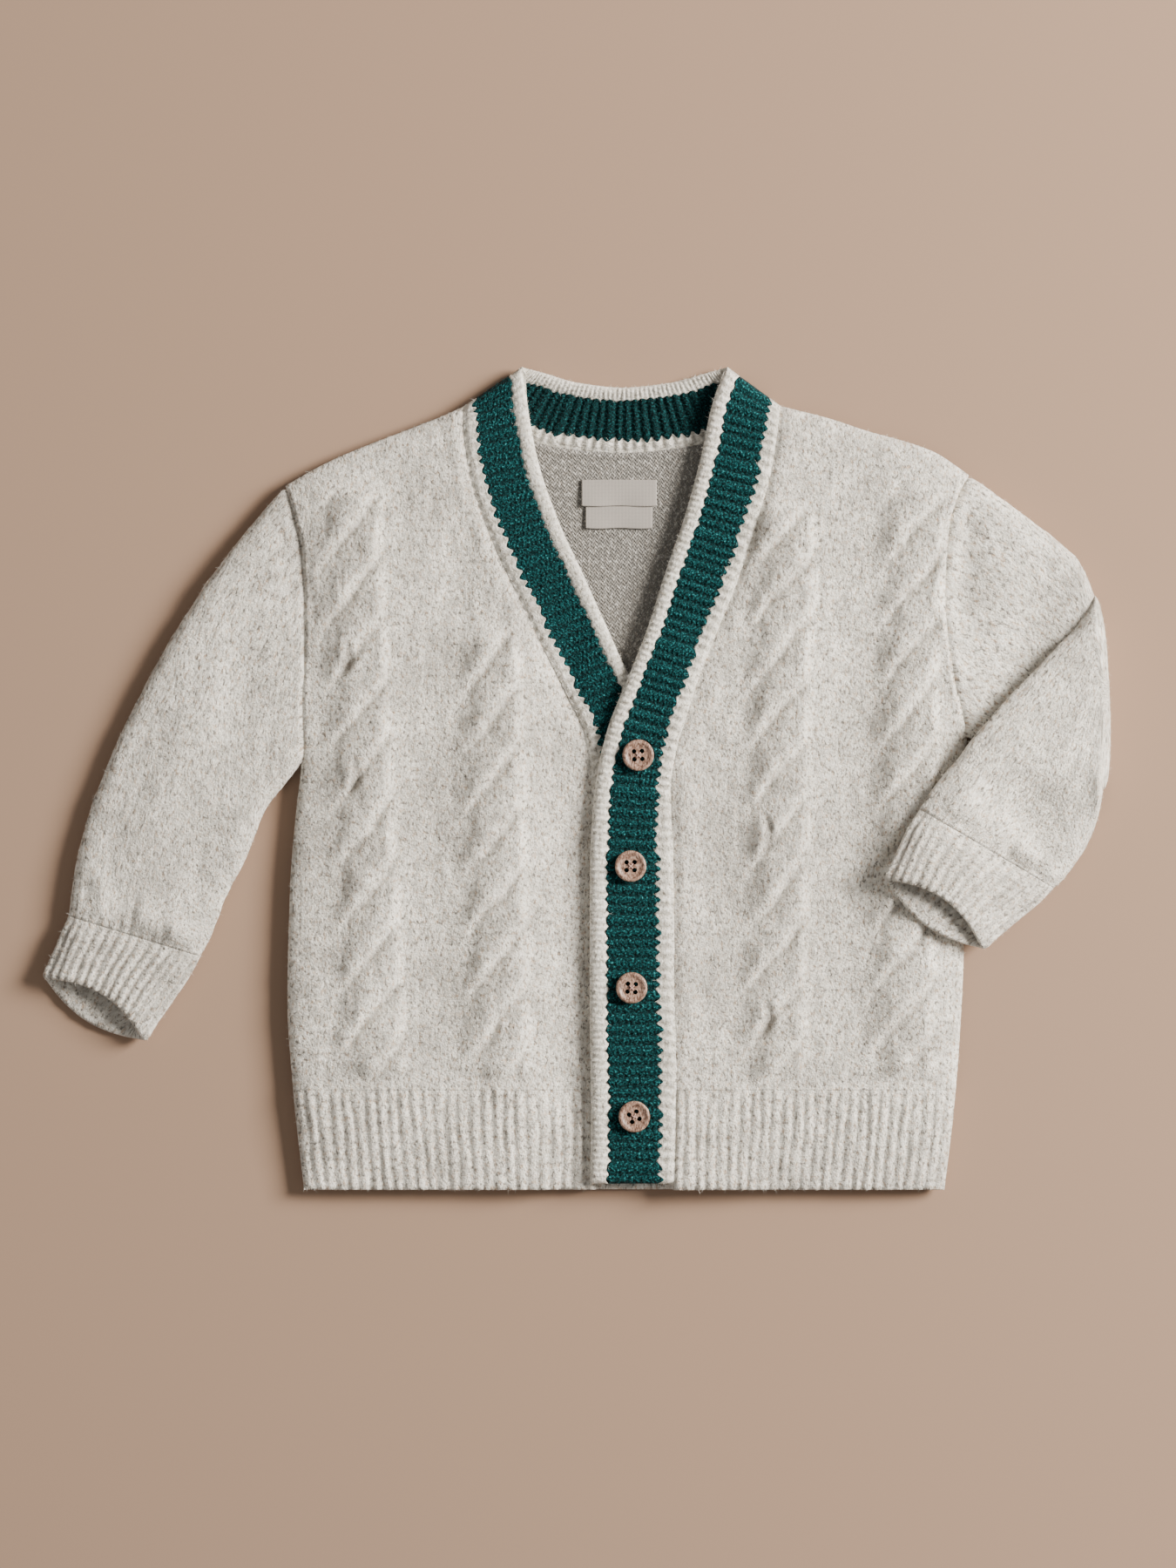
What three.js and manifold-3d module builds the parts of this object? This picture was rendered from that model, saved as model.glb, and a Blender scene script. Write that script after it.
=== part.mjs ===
// A baby's V-neck cardigan in thick brushed wool, buttoned up and laid flat on its back.
// The wearer's right sleeve lies out to the side; the left one is bent at the elbow, its cuff on the front.
// Millimetres. +X to the wearer's left, +Y from hem to neck, +Z up off the surface that it lies on.
// The origin is on the underside of the back, on the garment's centre line.
import * as THREE from "three";
import Module from "manifold-3d";

const wasm = await Module();
wasm.setup();

// Driving sizes
const WALL = 2.6; // thickness of the felted knit
const GAP = 0.3; // between two pieces at a seam
const SEAM_Z = 4.4; // height of the side and shoulder seams above the surface
const FRONT_RISE = 4.4; // from those seams up to the front's general level
const FRONT_ROUND = 13; // width of the front's rounded edge
const BACK_ROUND = 8; // width of the back's rounded edge
const HEM_TOP_Y = -117; // where the hem's rib starts
const HEM_Y = -155; // the hem's edge
const HEM_DROP = 1.9; // how far the front comes down towards the hem, away from the buttons
const HEM_DROP_RUN = 40;
const OVERLAP_X = 2; // middle of the buttoned overlap
const OVERLAP_HALF = 25; // half its width, with the slopes beside it
const OVERLAP_TOP_Y = 48; // where the two bands part for the V
const OVERLAP_RISE = 0.8; // how far it stands above the rest of the front
const UNDER_DIP = 3.9; // how far the overlapped front dips below the other
const UNDER_DIP_FROM_X = -46;
const UNDER_DIP_RUN = 30;
const CABLE_RISE = 2;
const CABLE_PERIOD = 23.2; // one crossing of a cable to the next
const CABLE_START = -8; // height of one crossing, the same on all cables
const CABLE_SLOPE = 1.15; // of the strands, in mm of height per mm across
const RIB_PITCH = 4.2; // hem and cuffs
const RIB_RISE = 0.8;
const BAND_RIB_RISE = 0.7;
const EDGING_SHARE = 0.21; // of the band's full width, from its free edge
const GREEN_SHARE = 0.8; // where the green ends, as a share of the same width
const BAND_END_Y = -152.5; // the bands stop a little above the hem's edge

const CREAM = new THREE.MeshStandardMaterial({ color: 0xd9d3c6, roughness: 0.95 });
const TIP_CREAM = new THREE.MeshStandardMaterial({ color: 0xe9e2d6, roughness: 0.95 });
const GREEN = new THREE.MeshStandardMaterial({ color: 0x0c5b50, roughness: 0.95 });
const WOOD = new THREE.MeshStandardMaterial({ color: 0xa98267, roughness: 0.6 });
const TAPE = new THREE.MeshStandardMaterial({ color: 0xdedad2, roughness: 0.8 });

// Corners: the shoulder tips, the neck ends of the shoulder seams, and the collar's upper corners
const TIP_RIGHT = { x: -131, y: 114 };
const TIP_LEFT = { x: 130.3, y: 118 };
const NECK_RIGHT = { x: -63, y: 144.2 };
const NECK_LEFT = { x: 58.5, y: 144.3 };
const COLLAR_RIGHT = { x: -40.7, y: 159.3 };
const COLLAR_LEFT = { x: 38, y: 159.3 };

// Edge lines, each x for a y. The right side's x is negative.
const SIDE_RIGHT = [
  { y: -156, x: -123.7 },
  { y: -117, x: -128 },
  { y: -83, x: -130.2 },
  { y: -40, x: -129.2 },
  { y: -8, x: -126.6 },
  { y: 8, x: -124.8 },
  { y: 30, x: -124.6 },
  { y: 60, x: -123.6 },
  { y: 85, x: -124.4 },
  { y: 102, x: -127.7 },
  TIP_RIGHT,
];
const SIDE_LEFT = [
  { y: -156, x: 120.7 },
  { y: -125, x: 124.4 },
  { y: -95, x: 126.8 },
  { y: -60, x: 128.4 },
  { y: -10, x: 129.2 },
  { y: 17.5, x: 129.4 },
  { y: 34, x: 126 },
  { y: 52, x: 122.6 },
  { y: 71, x: 121 },
  { y: 92, x: 122.2 },
  { y: 108, x: 126.2 },
  TIP_LEFT,
];
const UNDERARM_RIGHT_Y = 8;
const UNDERARM_LEFT_Y = 17.5;

// Shoulder lines from the armhole to the neck, each y for an x
const SHOULDER_RIGHT = [
  TIP_RIGHT,
  { x: -115.3, y: 122.7 },
  { x: -99.5, y: 129.5 },
  { x: -73.7, y: 139.4 },
  NECK_RIGHT,
];
const SHOULDER_LEFT = [
  NECK_LEFT,
  { x: 76.7, y: 139.7 },
  { x: 91.6, y: 134.8 },
  { x: 108.6, y: 130 },
  { x: 117, y: 126.8 },
  TIP_LEFT,
];

// The bands that edge both fronts: free edge and seam line at matching rows, from hem to shoulder
const BAND_RIGHT = [
  { freeX: 18.5, freeY: BAND_END_Y, seamX: -13.5, seamY: BAND_END_Y },
  { freeX: 18.5, freeY: -125, seamX: -13.5, seamY: -125 },
  { freeX: 18.5, freeY: -78, seamX: -13.5, seamY: -78 },
  { freeX: 18.5, freeY: -30, seamX: -13.5, seamY: -32 },
  { freeX: 16.4, freeY: 4, seamX: -14.2, seamY: -2 },
  { freeX: 8.5, freeY: 27, seamX: -16.5, seamY: 18 },
  { freeX: -1.3, freeY: 45, seamX: -23.8, seamY: 34.5 },
  { freeX: -8.3, freeY: 60.3, seamX: -32, seamY: 51 },
  { freeX: -18, freeY: 81.7, seamX: -42.4, seamY: 72.3 },
  { freeX: -26.3, freeY: 99.7, seamX: -51.4, seamY: 91.5 },
  { freeX: -34.6, freeY: 124.1, seamX: -60.6, seamY: 117.5 },
  { freeX: -38.6, freeY: 145.4, seamX: -63, seamY: 136.5 },
  { freeX: COLLAR_RIGHT.x, freeY: COLLAR_RIGHT.y, seamX: NECK_RIGHT.x, seamY: NECK_RIGHT.y },
];
const BAND_LEFT = [
  { freeX: -14.5, freeY: BAND_END_Y, seamX: 18.3, seamY: BAND_END_Y },
  { freeX: -14.2, freeY: -125, seamX: 18.9, seamY: -125 },
  { freeX: -14.7, freeY: -78, seamX: 17.9, seamY: -78 },
  { freeX: -14.5, freeY: -30, seamX: 17.2, seamY: -31 },
  { freeX: -12.4, freeY: 0, seamX: 16.9, seamY: -3 },
  { freeX: -8.3, freeY: 19.5, seamX: 18.8, seamY: 12.5 },
  { freeX: 0.5, freeY: 42, seamX: 24.8, seamY: 34 },
  { freeX: 7.7, freeY: 60.4, seamX: 31.6, seamY: 52.5 },
  { freeX: 14.6, freeY: 82, seamX: 40.2, seamY: 73.5 },
  { freeX: 21.2, freeY: 101, seamX: 47.1, seamY: 93 },
  { freeX: 27.6, freeY: 124, seamX: 54.6, seamY: 117 },
  { freeX: 32.1, freeY: 145, seamX: 57.8, seamY: 136.5 },
  { freeX: COLLAR_LEFT.x, freeY: COLLAR_LEFT.y, seamX: NECK_LEFT.x, seamY: NECK_LEFT.y },
];

// The band across the back of the neck: seam line and free edge, from the right shoulder to the left
const BAND_NECK = [
  { seamX: NECK_RIGHT.x, seamY: NECK_RIGHT.y, freeX: COLLAR_RIGHT.x, freeY: COLLAR_RIGHT.y },
  { seamX: -49, seamY: 136, freeX: -33, freeY: 157.4 },
  { seamX: -29, seamY: 129, freeX: -20, freeY: 153.6 },
  { seamX: -2.5, seamY: 126.6, freeX: -2.2, freeY: 151.6 },
  { seamX: 24, seamY: 129, freeX: 16, freeY: 153.4 },
  { seamX: 44, seamY: 136, freeX: 30, freeY: 157.2 },
  { seamX: NECK_LEFT.x, seamY: NECK_LEFT.y, freeX: COLLAR_LEFT.x, freeY: COLLAR_LEFT.y },
];

// Cables on the fronts
const CABLES = [
  { name: "right outer", x: -101, lean: -0.045, width: 23, bottom: -114, top: 116 },
  { name: "right inner", x: -51, lean: -0.02, width: 23, bottom: -114, top: 62 },
  { name: "left inner", x: 58, lean: 0.02, width: 23, bottom: -114, top: 108 },
  { name: "left outer", x: 107, lean: 0.02, width: 23, bottom: -114, top: 116 },
];

// Sleeves, row by row from the armhole: edges a and b, height of those edges and of the top above
// what the sleeve lies on, and how far it has been turned over at the elbow.
// The last row of each is the cuff's end, and the one before it is where the rib starts.
const SLEEVE_RIGHT = [
  { ax: TIP_RIGHT.x, ay: TIP_RIGHT.y, bx: -124.8, by: UNDERARM_RIGHT_Y, edge: 4.4, top: 9, turn: 0 },
  { ax: -147, ay: 95.2, bx: -132, by: -1.5, edge: 4.4, top: 9, turn: 0 },
  { ax: -163, ay: 73.5, bx: -139, by: -11, edge: 4.4, top: 9, turn: 0 },
  { ax: -181, ay: 45, bx: -145.3, by: -27, edge: 4.4, top: 8.8, turn: 0 },
  { ax: -199, ay: 8, bx: -153.3, by: -43, edge: 4.4, top: 8.6, turn: 0 },
  { ax: -209.5, ay: -23, bx: -158.9, by: -57, edge: 4.3, top: 8.6, turn: 0 },
  { ax: -214.3, ay: -50.3, bx: -163, by: -66, edge: 4.2, top: 8.4, turn: 0 },
  { ax: -224, ay: -73.7, bx: -184.3, by: -98.5, edge: 4.2, top: 8.2, turn: 0 },
];
const SLEEVE_LEFT = [
  { ax: TIP_LEFT.x, ay: TIP_LEFT.y, bx: 129.4, by: UNDERARM_LEFT_Y, edge: 4.4, top: 9, turn: 0 },
  { ax: 145, ay: 107.6, bx: 144, by: 14.5, edge: 4.2, top: 8.6, turn: 0 },
  { ax: 159, ay: 97, bx: 160, by: 9, edge: 3.9, top: 7.8, turn: 0 },
  { ax: 171, ay: 87.5, bx: 176.8, by: 3, edge: 3.5, top: 7, turn: 0 },
  { ax: 171, ay: 87.5, bx: 176.8, by: 3, edge: 3.5, top: 7, turn: 1 },
  { ax: 174, ay: 68.5, bx: 179.5, by: -6, edge: 3.7, top: 7.6, turn: 1 },
  { ax: 162.5, ay: 53.5, bx: 176.2, by: -17, edge: 4, top: 8.2, turn: 1 },
  { ax: 144.7, ay: 32.7, bx: 172, by: -26, edge: 4.2, top: 8.8, turn: 1 },
  { ax: 128, ay: 13.5, bx: 168.5, by: -32.5, edge: 4.2, top: 9, turn: 1 },
  { ax: 110.5, ay: -9.5, bx: 163.5, by: -37, edge: 4.2, top: 8.8, turn: 1 },
  { ax: 97.3, ay: -35.7, bx: 135.7, by: -63.3, edge: 4.2, top: 8.4, turn: 1 },
];
const ELBOW_GAP = 0.2; // from the fold's axis at the elbow to the layer inside the fold
const SLEEVE_TOP_ROUND = 11;
const SLEEVE_UNDER_ROUND = 8;
const MOUTH_RECESS = 6.5; // how far the upper lip of a cuff is set back
const MOUTH_BULGE = 5.5; // how far its lower lip stands forward

// Height of the folded forearm's underside: over the upper arm and front, and where only the front's
// side holds it up.
const OVER_ARM = [
  { x: 90, z: 11.7 },
  { x: 112, z: 11.7 },
  { x: 122, z: 11 },
  { x: 130, z: 10.2 },
  { x: 145, z: 9.3 },
  { x: 160, z: 8.4 },
  { x: 176, z: 7.5 },
  { x: 190, z: 7.4 },
];
const BESIDE_BODY = [
  { x: 90, z: 11.7 },
  { x: 112, z: 11.7 },
  { x: 120, z: 10.9 },
  { x: 126, z: 9.6 },
  { x: 133, z: 7 },
  { x: 141, z: 3.6 },
  { x: 150, z: 1 },
  { x: 158, z: 0 },
  { x: 190, z: 0 },
];

// Soft troughs and ridges in the upper side of the cloth
const FOLDS = [
  { name: "right upper arm trough", x0: -144, y0: 66, x1: -150, y1: 18, width: 8, depth: -1.3 },
  { name: "right forearm ridge", x0: -156, y0: 44, x1: -188, y1: -28, width: 8, depth: 0.9 },
  { name: "right forearm trough", x0: -158, y0: -8, x1: -166, y1: -50, width: 7, depth: -1.2 },
  { name: "above the right cuff", x0: -208, y0: -44, x1: -178, y1: -50, width: 5, depth: -1.4 },
  { name: "left armhole ridge, upper", x0: 128, y0: 116, x1: 119, y1: 72, width: 5, depth: 1 },
  { name: "left armhole ridge, lower", x0: 119, y0: 78, x1: 128, y1: 30, width: 5, depth: 1 },
  { name: "left upper arm trough", x0: 130, y0: 106, x1: 127, y1: 62, width: 5, depth: -1.2 },
  { name: "left upper arm ridge", x0: 149, y0: 96, x1: 142, y1: 58, width: 8, depth: 0.8 },
  { name: "left elbow trough", x0: 164, y0: 78, x1: 148, y1: 46, width: 7, depth: -0.8 },
  { name: "left forearm trough", x0: 158, y0: 4, x1: 146, y1: -20, width: 9, depth: -1 },
  { name: "right front hollow", x0: -78, y0: 70, x1: -76, y1: -95, width: 11, depth: -0.8 },
  { name: "left front hollow", x0: 83, y0: 80, x1: 84, y1: -95, width: 10, depth: -0.8 },
];

const BUTTON = { diameter: 12, thick: 2.4, rim: 1.2, dish: 0.5, hole: 1.5, holeSpacing: 3 };
const BUTTONS = [
  { name: "button_1", x: 3.8, y: 11, turn: 0 },
  { name: "button_2", x: 0.9, y: -31.3, turn: 0 },
  { name: "button_3", x: 1.3, y: -77.7, turn: 0 },
  { name: "button_4", x: 2.3, y: -126.8, turn: 0.45 },
];

const LABELS = [
  { name: "label_main", x0: -17.8, x1: 10.9, y0: 106.3, y1: 116.2 },
  { name: "label_size", x0: -16.3, x1: 9.3, y0: 97.8, y1: 106 },
];
const LABEL_THICK = 0.6;

// Small functions

const clamp = (t, low = 0, high = 1) => Math.min(high, Math.max(low, t));
const lerp = (a, b, t) => a + (b - a) * t;
const smooth = (t) => clamp(t) ** 2 * (3 - 2 * clamp(t));
const range = (count) => Array.from({ length: count }, (_, i) => i);
const steps = (from, to, count) => range(count + 1).map((i) => lerp(from, to, i / count));

// A smooth curve through a table's rows, with no bulge beyond them: the value column for a place in
// the key column, which rises from row to row.
function through(rows, key, value) {
  const k = rows.map((r) => r[key]);
  const v = rows.map((r) => r[value]);
  const last = rows.length - 1;
  const secant = range(last).map((i) => (v[i + 1] - v[i]) / (k[i + 1] - k[i]));
  const slope = range(rows.length).map((i) => {
    if (i === 0 || i === last) return secant[Math.min(i, last - 1)];
    const [before, after] = [secant[i - 1], secant[i]];
    return before * after <= 0 ? 0 : (2 * before * after) / (before + after);
  });
  return (at) => {
    let i = 0;
    while (i < last - 1 && at > k[i + 1]) i++;
    const span = k[i + 1] - k[i];
    const t = clamp((at - k[i]) / span);
    const t2 = t * t;
    const t3 = t2 * t;
    return (
      (2 * t3 - 3 * t2 + 1) * v[i] +
      (t3 - 2 * t2 + t) * span * slope[i] +
      (3 * t2 - 2 * t3) * v[i + 1] +
      (t3 - t2) * span * slope[i + 1]
    );
  };
}

// Each column of a table as a smooth function of the row number.
function rowCurves(rows) {
  const numbered = rows.map((r, i) => ({ ...r, i }));
  const columns = Object.keys(rows[0]);
  return Object.fromEntries(columns.map((c) => [c, through(numbered, "i", c)]));
}

const sideRight = through(SIDE_RIGHT, "y", "x");
const sideLeft = through(SIDE_LEFT, "y", "x");
const shoulderRight = through(SHOULDER_RIGHT, "x", "y");
const shoulderLeft = through(SHOULDER_LEFT, "x", "y");
const seamRight = through(BAND_RIGHT, "seamY", "seamX");
const seamLeft = through(BAND_LEFT, "seamY", "seamX");

// The garment's closed edges

const sleeveRight = rowCurves(SLEEVE_RIGHT);
const sleeveLeft = rowCurves(SLEEVE_LEFT);
const SLEEVE_EDGE_ROWS = steps(0, 3, 12);

// Each line has the garment on its left hand.
const CLOSED_LINES = [
  steps(UNDERARM_RIGHT_Y, HEM_Y - 1, 48).map((y) => [sideRight(y), y]),
  steps(HEM_Y - 1, UNDERARM_LEFT_Y, 48).map((y) => [sideLeft(y), y]),
  [
    ...SLEEVE_EDGE_ROWS.map((s) => [sleeveLeft.ax(s), sleeveLeft.ay(s)]).reverse(),
    ...steps(TIP_LEFT.x, NECK_LEFT.x, 30).slice(1).map((x) => [x, shoulderLeft(x)]),
    [COLLAR_LEFT.x, COLLAR_LEFT.y],
  ],
  [
    [COLLAR_RIGHT.x, COLLAR_RIGHT.y],
    ...steps(NECK_RIGHT.x, TIP_RIGHT.x, 30).slice(0, -1).map((x) => [x, shoulderRight(x)]),
    ...SLEEVE_EDGE_ROWS.map((s) => [sleeveRight.ax(s), sleeveRight.ay(s)]),
  ],
  SLEEVE_EDGE_ROWS.map((s) => [sleeveRight.bx(s), sleeveRight.by(s)]).reverse(),
  SLEEVE_EDGE_ROWS.map((s) => [sleeveLeft.bx(s), sleeveLeft.by(s)]),
];

// Distance from a point to the nearest closed edge, and the direction from that edge into the garment.
function inFromEdge(x, y) {
  let best = { d: Infinity };
  for (const line of CLOSED_LINES)
    for (let i = 0; i + 1 < line.length; i++) {
      const [x0, y0] = line[i];
      const ux = line[i + 1][0] - x0;
      const uy = line[i + 1][1] - y0;
      const long = Math.hypot(ux, uy);
      const t = clamp(((x - x0) * ux + (y - y0) * uy) / (long * long));
      const px = x - x0 - ux * t;
      const py = y - y0 - uy * t;
      const d = Math.hypot(px, py);
      if (d >= best.d) continue;
      const inside = (-uy * px + ux * py) / long;
      const near = d < 0.4;
      const depth = near ? Math.max(inside, 0) : d;
      best = { d, depth, gx: near ? -uy / long : px / d, gy: near ? ux / long : py / d };
    }
  return best;
}

// Cosine and sine of the angle round an elliptical edge, for a depth in from it.
function roundEdge(depth, width) {
  const cos = 1 - clamp(depth / width);
  return { cos, sin: Math.sqrt(1 - cos * cos) };
}

// Height of all folds at a point: each is a soft ridge along a line, fading at its ends.
function foldHeight(x, y) {
  return FOLDS.reduce((sum, f) => {
    const ux = f.x1 - f.x0;
    const uy = f.y1 - f.y0;
    const long = Math.hypot(ux, uy);
    const t = ((x - f.x0) * ux + (y - f.y0) * uy) / (long * long);
    const off = ((x - f.x0) * uy - (y - f.y0) * ux) / long;
    const along = Math.exp(-(((t - 0.5) / 0.42) ** 4));
    return sum + f.depth * along * Math.exp(-((off / f.width) ** 2));
  }, 0);
}

// Height of the front's level above its side seams: it comes down at the hem, and stands up where
// the two bands overlap.
function frontRise(x, y) {
  const fromOverlap = Math.abs(x - OVERLAP_X);
  const atHem = 1 - smooth((y - HEM_Y) / HEM_DROP_RUN);
  const besideOverlap = smooth((fromOverlap - OVERLAP_HALF) / HEM_DROP_RUN);
  const atOverlap = smooth((OVERLAP_HALF - fromOverlap) / 8) * (1 - smooth((y - OVERLAP_TOP_Y) / 22));
  return FRONT_RISE - HEM_DROP * atHem * besideOverlap + OVERLAP_RISE * atOverlap + foldHeight(x, y);
}

// A point of the front's wall, on the outer face or the inner one. dip lowers the front that is
// overlapped, and relief is how far the knitting stands out there.
function frontPoint(x, y, { inner = false, dip = 0, relief = 0 } = {}) {
  const edge = inFromEdge(x, y);
  const { cos, sin } = roundEdge(edge.depth, FRONT_ROUND);
  const level = SEAM_Z + GAP / 2 + (frontRise(x, y) - dip) * sin;
  if (!inner) return [x, y, level + relief * sin];
  return [x + WALL * cos * edge.gx, y + WALL * cos * edge.gy, level - WALL * sin];
}

// A point of the back's wall. The outer face lies on the surface.
function backPoint(x, y, { inner = false, relief = 0 } = {}) {
  const edge = inFromEdge(x, y);
  const { cos, sin } = roundEdge(edge.depth, BACK_ROUND);
  const level = (SEAM_Z - GAP / 2) * (1 - sin);
  if (!inner) return [x, y, level];
  return [x + WALL * cos * edge.gx, y + WALL * cos * edge.gy, level + (WALL + relief) * sin];
}

// The overlapped right front dips under the left band, and comes up again beside the neck's V.
function underDip(x, y) {
  const towardsBand = smooth((x - UNDER_DIP_FROM_X) / UNDER_DIP_RUN);
  return UNDER_DIP * towardsBand * (1 - smooth((y - OVERLAP_TOP_Y) / UNDER_DIP_RUN));
}

// A cable's relief: slanting strands under a rounded outline.
function cableRelief(x, y) {
  return CABLES.reduce((sum, c) => {
    const across = x - c.x - c.lean * y;
    const outline = smooth((c.width / 2 + 1.7 - Math.abs(across)) / 4.6);
    const ends = smooth((y - c.bottom) / 8) * smooth((c.top - y) / 8);
    const along = y - CABLE_START - across * CABLE_SLOPE;
    const strand = 0.5 + 0.5 * Math.cos((2 * Math.PI * along) / CABLE_PERIOD);
    return sum + CABLE_RISE * ends * outline * (0.3 + 0.7 * strand);
  }, 0);
}

// A rib's relief from the distance across the ribs, as a share of the full rise.
const ribRelief = (distance, pitch) => 0.5 - 0.5 * Math.cos((2 * Math.PI * distance) / pitch);

// Building closed walls

// A geometry from points and faces.
function geometryOf(points, faces) {
  const g = new THREE.BufferGeometry();
  g.setAttribute("position", new THREE.Float32BufferAttribute(points.flat(), 3));
  g.setIndex(faces.flat());
  return g;
}

// Closes the rim between one side of an outer grid and of a coarser inner one, whose points stand
// at the outer's kept indices.
function rimFaces(outer, inner, kept) {
  return range(inner.length - 1).flatMap((i) => {
    const [from, to] = [kept[i], kept[i + 1]];
    const middle = Math.ceil((from + to) / 2);
    const fan = range(to - from).map((j) => {
      const k = from + j;
      return [outer[k], k < middle ? inner[i] : inner[i + 1], outer[k + 1]];
    });
    return [...fan, [inner[i], inner[i + 1], outer[middle]]];
  });
}

// Indices kept of a list: all of the first and last few, and one in "every" between.
function keptIndices(list, every, fine = 0) {
  const last = list.length - 1;
  return range(list.length).filter(
    (i) => i <= fine || i >= last - fine || (i % every === 0 && last - fine - i > every / 3),
  );
}

// A wall over a patch: outer and inner are functions of two parameters, us and vs their values, and
// keepU and keepV the indices that the coarser inner face has too.
// Seen from the outer side, u runs right and v runs up.
function wall({ us, vs, keepU, keepV, outer, inner }) {
  const points = [];
  const faces = [];
  const add = (p) => points.push(p) - 1;
  const grid = (uList, vList, f) => vList.map((v) => uList.map((u) => add(f(u, v))));
  const cover = (g, flip) => {
    for (let j = 0; j + 1 < g.length; j++)
      for (let i = 0; i + 1 < g[0].length; i++) {
        const [a, b, c, d] = [g[j][i], g[j][i + 1], g[j + 1][i + 1], g[j + 1][i]];
        faces.push(...(flip ? [[a, c, b], [a, d, c]] : [[a, b, c], [a, c, d]]));
      }
  };
  const bottom = (g) => g[0];
  const right = (g) => g.map((row) => row.at(-1));
  const top = (g) => [...g.at(-1)].reverse();
  const left = (g) => g.map((row) => row[0]).reverse();
  const mirrored = (kept) => kept.map((i) => kept.at(-1) - i).reverse();
  const out = grid(us, vs, outer);
  const inn = grid(keepU.map((i) => us[i]), keepV.map((i) => vs[i]), inner);
  cover(out, false);
  cover(inn, true);
  faces.push(...rimFaces(bottom(out), bottom(inn), keepU));
  faces.push(...rimFaces(right(out), right(inn), keepV));
  faces.push(...rimFaces(top(out), top(inn), mirrored(keepU)));
  faces.push(...rimFaces(left(out), left(inn), mirrored(keepV)));
  return geometryOf(points, faces);
}

// A tube's wall: around lists the parameters round it, and the rows are those along it.
function tube({ around, outerRows, innerRows, outer, inner }) {
  const points = [];
  const faces = [];
  const add = (p) => points.push(p) - 1;
  const grid = (rows, f) => rows.map((v) => around.map((u) => add(f(u, v))));
  const n = around.length;
  const strip = (lower, upper) => {
    for (let i = 0; i < n; i++) {
      const k = (i + 1) % n;
      faces.push([lower[i], lower[k], upper[k]], [lower[i], upper[k], upper[i]]);
    }
  };
  const out = grid(outerRows, outer);
  const inn = grid(innerRows, inner);
  for (let j = 0; j + 1 < out.length; j++) strip(out[j], out[j + 1]);
  for (let j = 0; j + 1 < inn.length; j++) strip(inn[j + 1], inn[j]);
  strip(inn[0], out[0]);
  strip(out.at(-1), inn.at(-1));
  return geometryOf(points, faces);
}

// Puts a closed geometry the right way round: its volume must be positive.
function facingOut(geometry) {
  const p = geometry.getAttribute("position");
  const index = geometry.index.array;
  const [a, b, c] = range(3).map(() => new THREE.Vector3());
  let volume = 0;
  for (let i = 0; i < index.length; i += 3) {
    a.fromBufferAttribute(p, index[i]);
    b.fromBufferAttribute(p, index[i + 1]);
    c.fromBufferAttribute(p, index[i + 2]);
    volume += a.dot(b.cross(c));
  }
  if (volume > 0) return geometry;
  for (let i = 0; i < index.length; i += 3) [index[i + 1], index[i + 2]] = [index[i + 2], index[i + 1]];
  return geometry;
}

const cardigan = new THREE.Group();

function addPiece(name, geometry, material) {
  geometry.computeVertexNormals();
  const mesh = new THREE.Mesh(geometry, material);
  mesh.name = name;
  cardigan.add(mesh);
  return mesh;
}

// Fronts

const FRONT_COLUMN = 5; // mm
const SIDE_STEPS = [0, 0.4, 1.6, 4.2, 8]; // mm in from the rounded side
const FRONT_WIDTH = 113;
const FRONT_ROWS = [...steps(0, 0.944, 38), 0.97, 0.985, 0.995, 1];

// Columns across a front from its side to its band, as shares of its width.
const FRONT_COLUMNS = [
  ...SIDE_STEPS.map((d) => d / FRONT_WIDTH),
  ...steps(SIDE_STEPS.at(-1) + FRONT_COLUMN, FRONT_WIDTH, 20).map((d) => d / FRONT_WIDTH),
];

// A front's rows are level at the hem and lie along the shoulder at the top.
function frontPlan({ side, seam, shoulder, sign, underarmY, shoulderY, neckY }, share, v) {
  const sideY = lerp(HEM_TOP_Y + GAP / 2, shoulderY, v);
  const level = lerp(HEM_TOP_Y + GAP / 2, neckY, v);
  const seamY = lerp(sideY, level, smooth((v - 0.3) / 0.7));
  const inset = sideY > underarmY && v < 0.999 ? (sign * GAP) / 2 : 0;
  const from = side(sideY) - inset;
  const to = seam(seamY) + (sign * GAP) / 2;
  const x = lerp(from, to, share);
  const bow = shoulder(x) - lerp(shoulderY, neckY, share);
  return [x, lerp(sideY, seamY, share) + bow * smooth((v - 0.75) / 0.25)];
}

const FRONT_RIGHT = {
  side: sideRight,
  seam: seamRight,
  shoulder: shoulderRight,
  sign: -1,
  underarmY: UNDERARM_RIGHT_Y,
  shoulderY: TIP_RIGHT.y,
  neckY: NECK_RIGHT.y,
  dip: underDip,
};
const FRONT_LEFT = {
  side: sideLeft,
  seam: seamLeft,
  shoulder: shoulderLeft,
  sign: 1,
  underarmY: UNDERARM_LEFT_Y,
  shoulderY: TIP_LEFT.y,
  neckY: NECK_LEFT.y,
  dip: () => 0,
};

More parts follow.
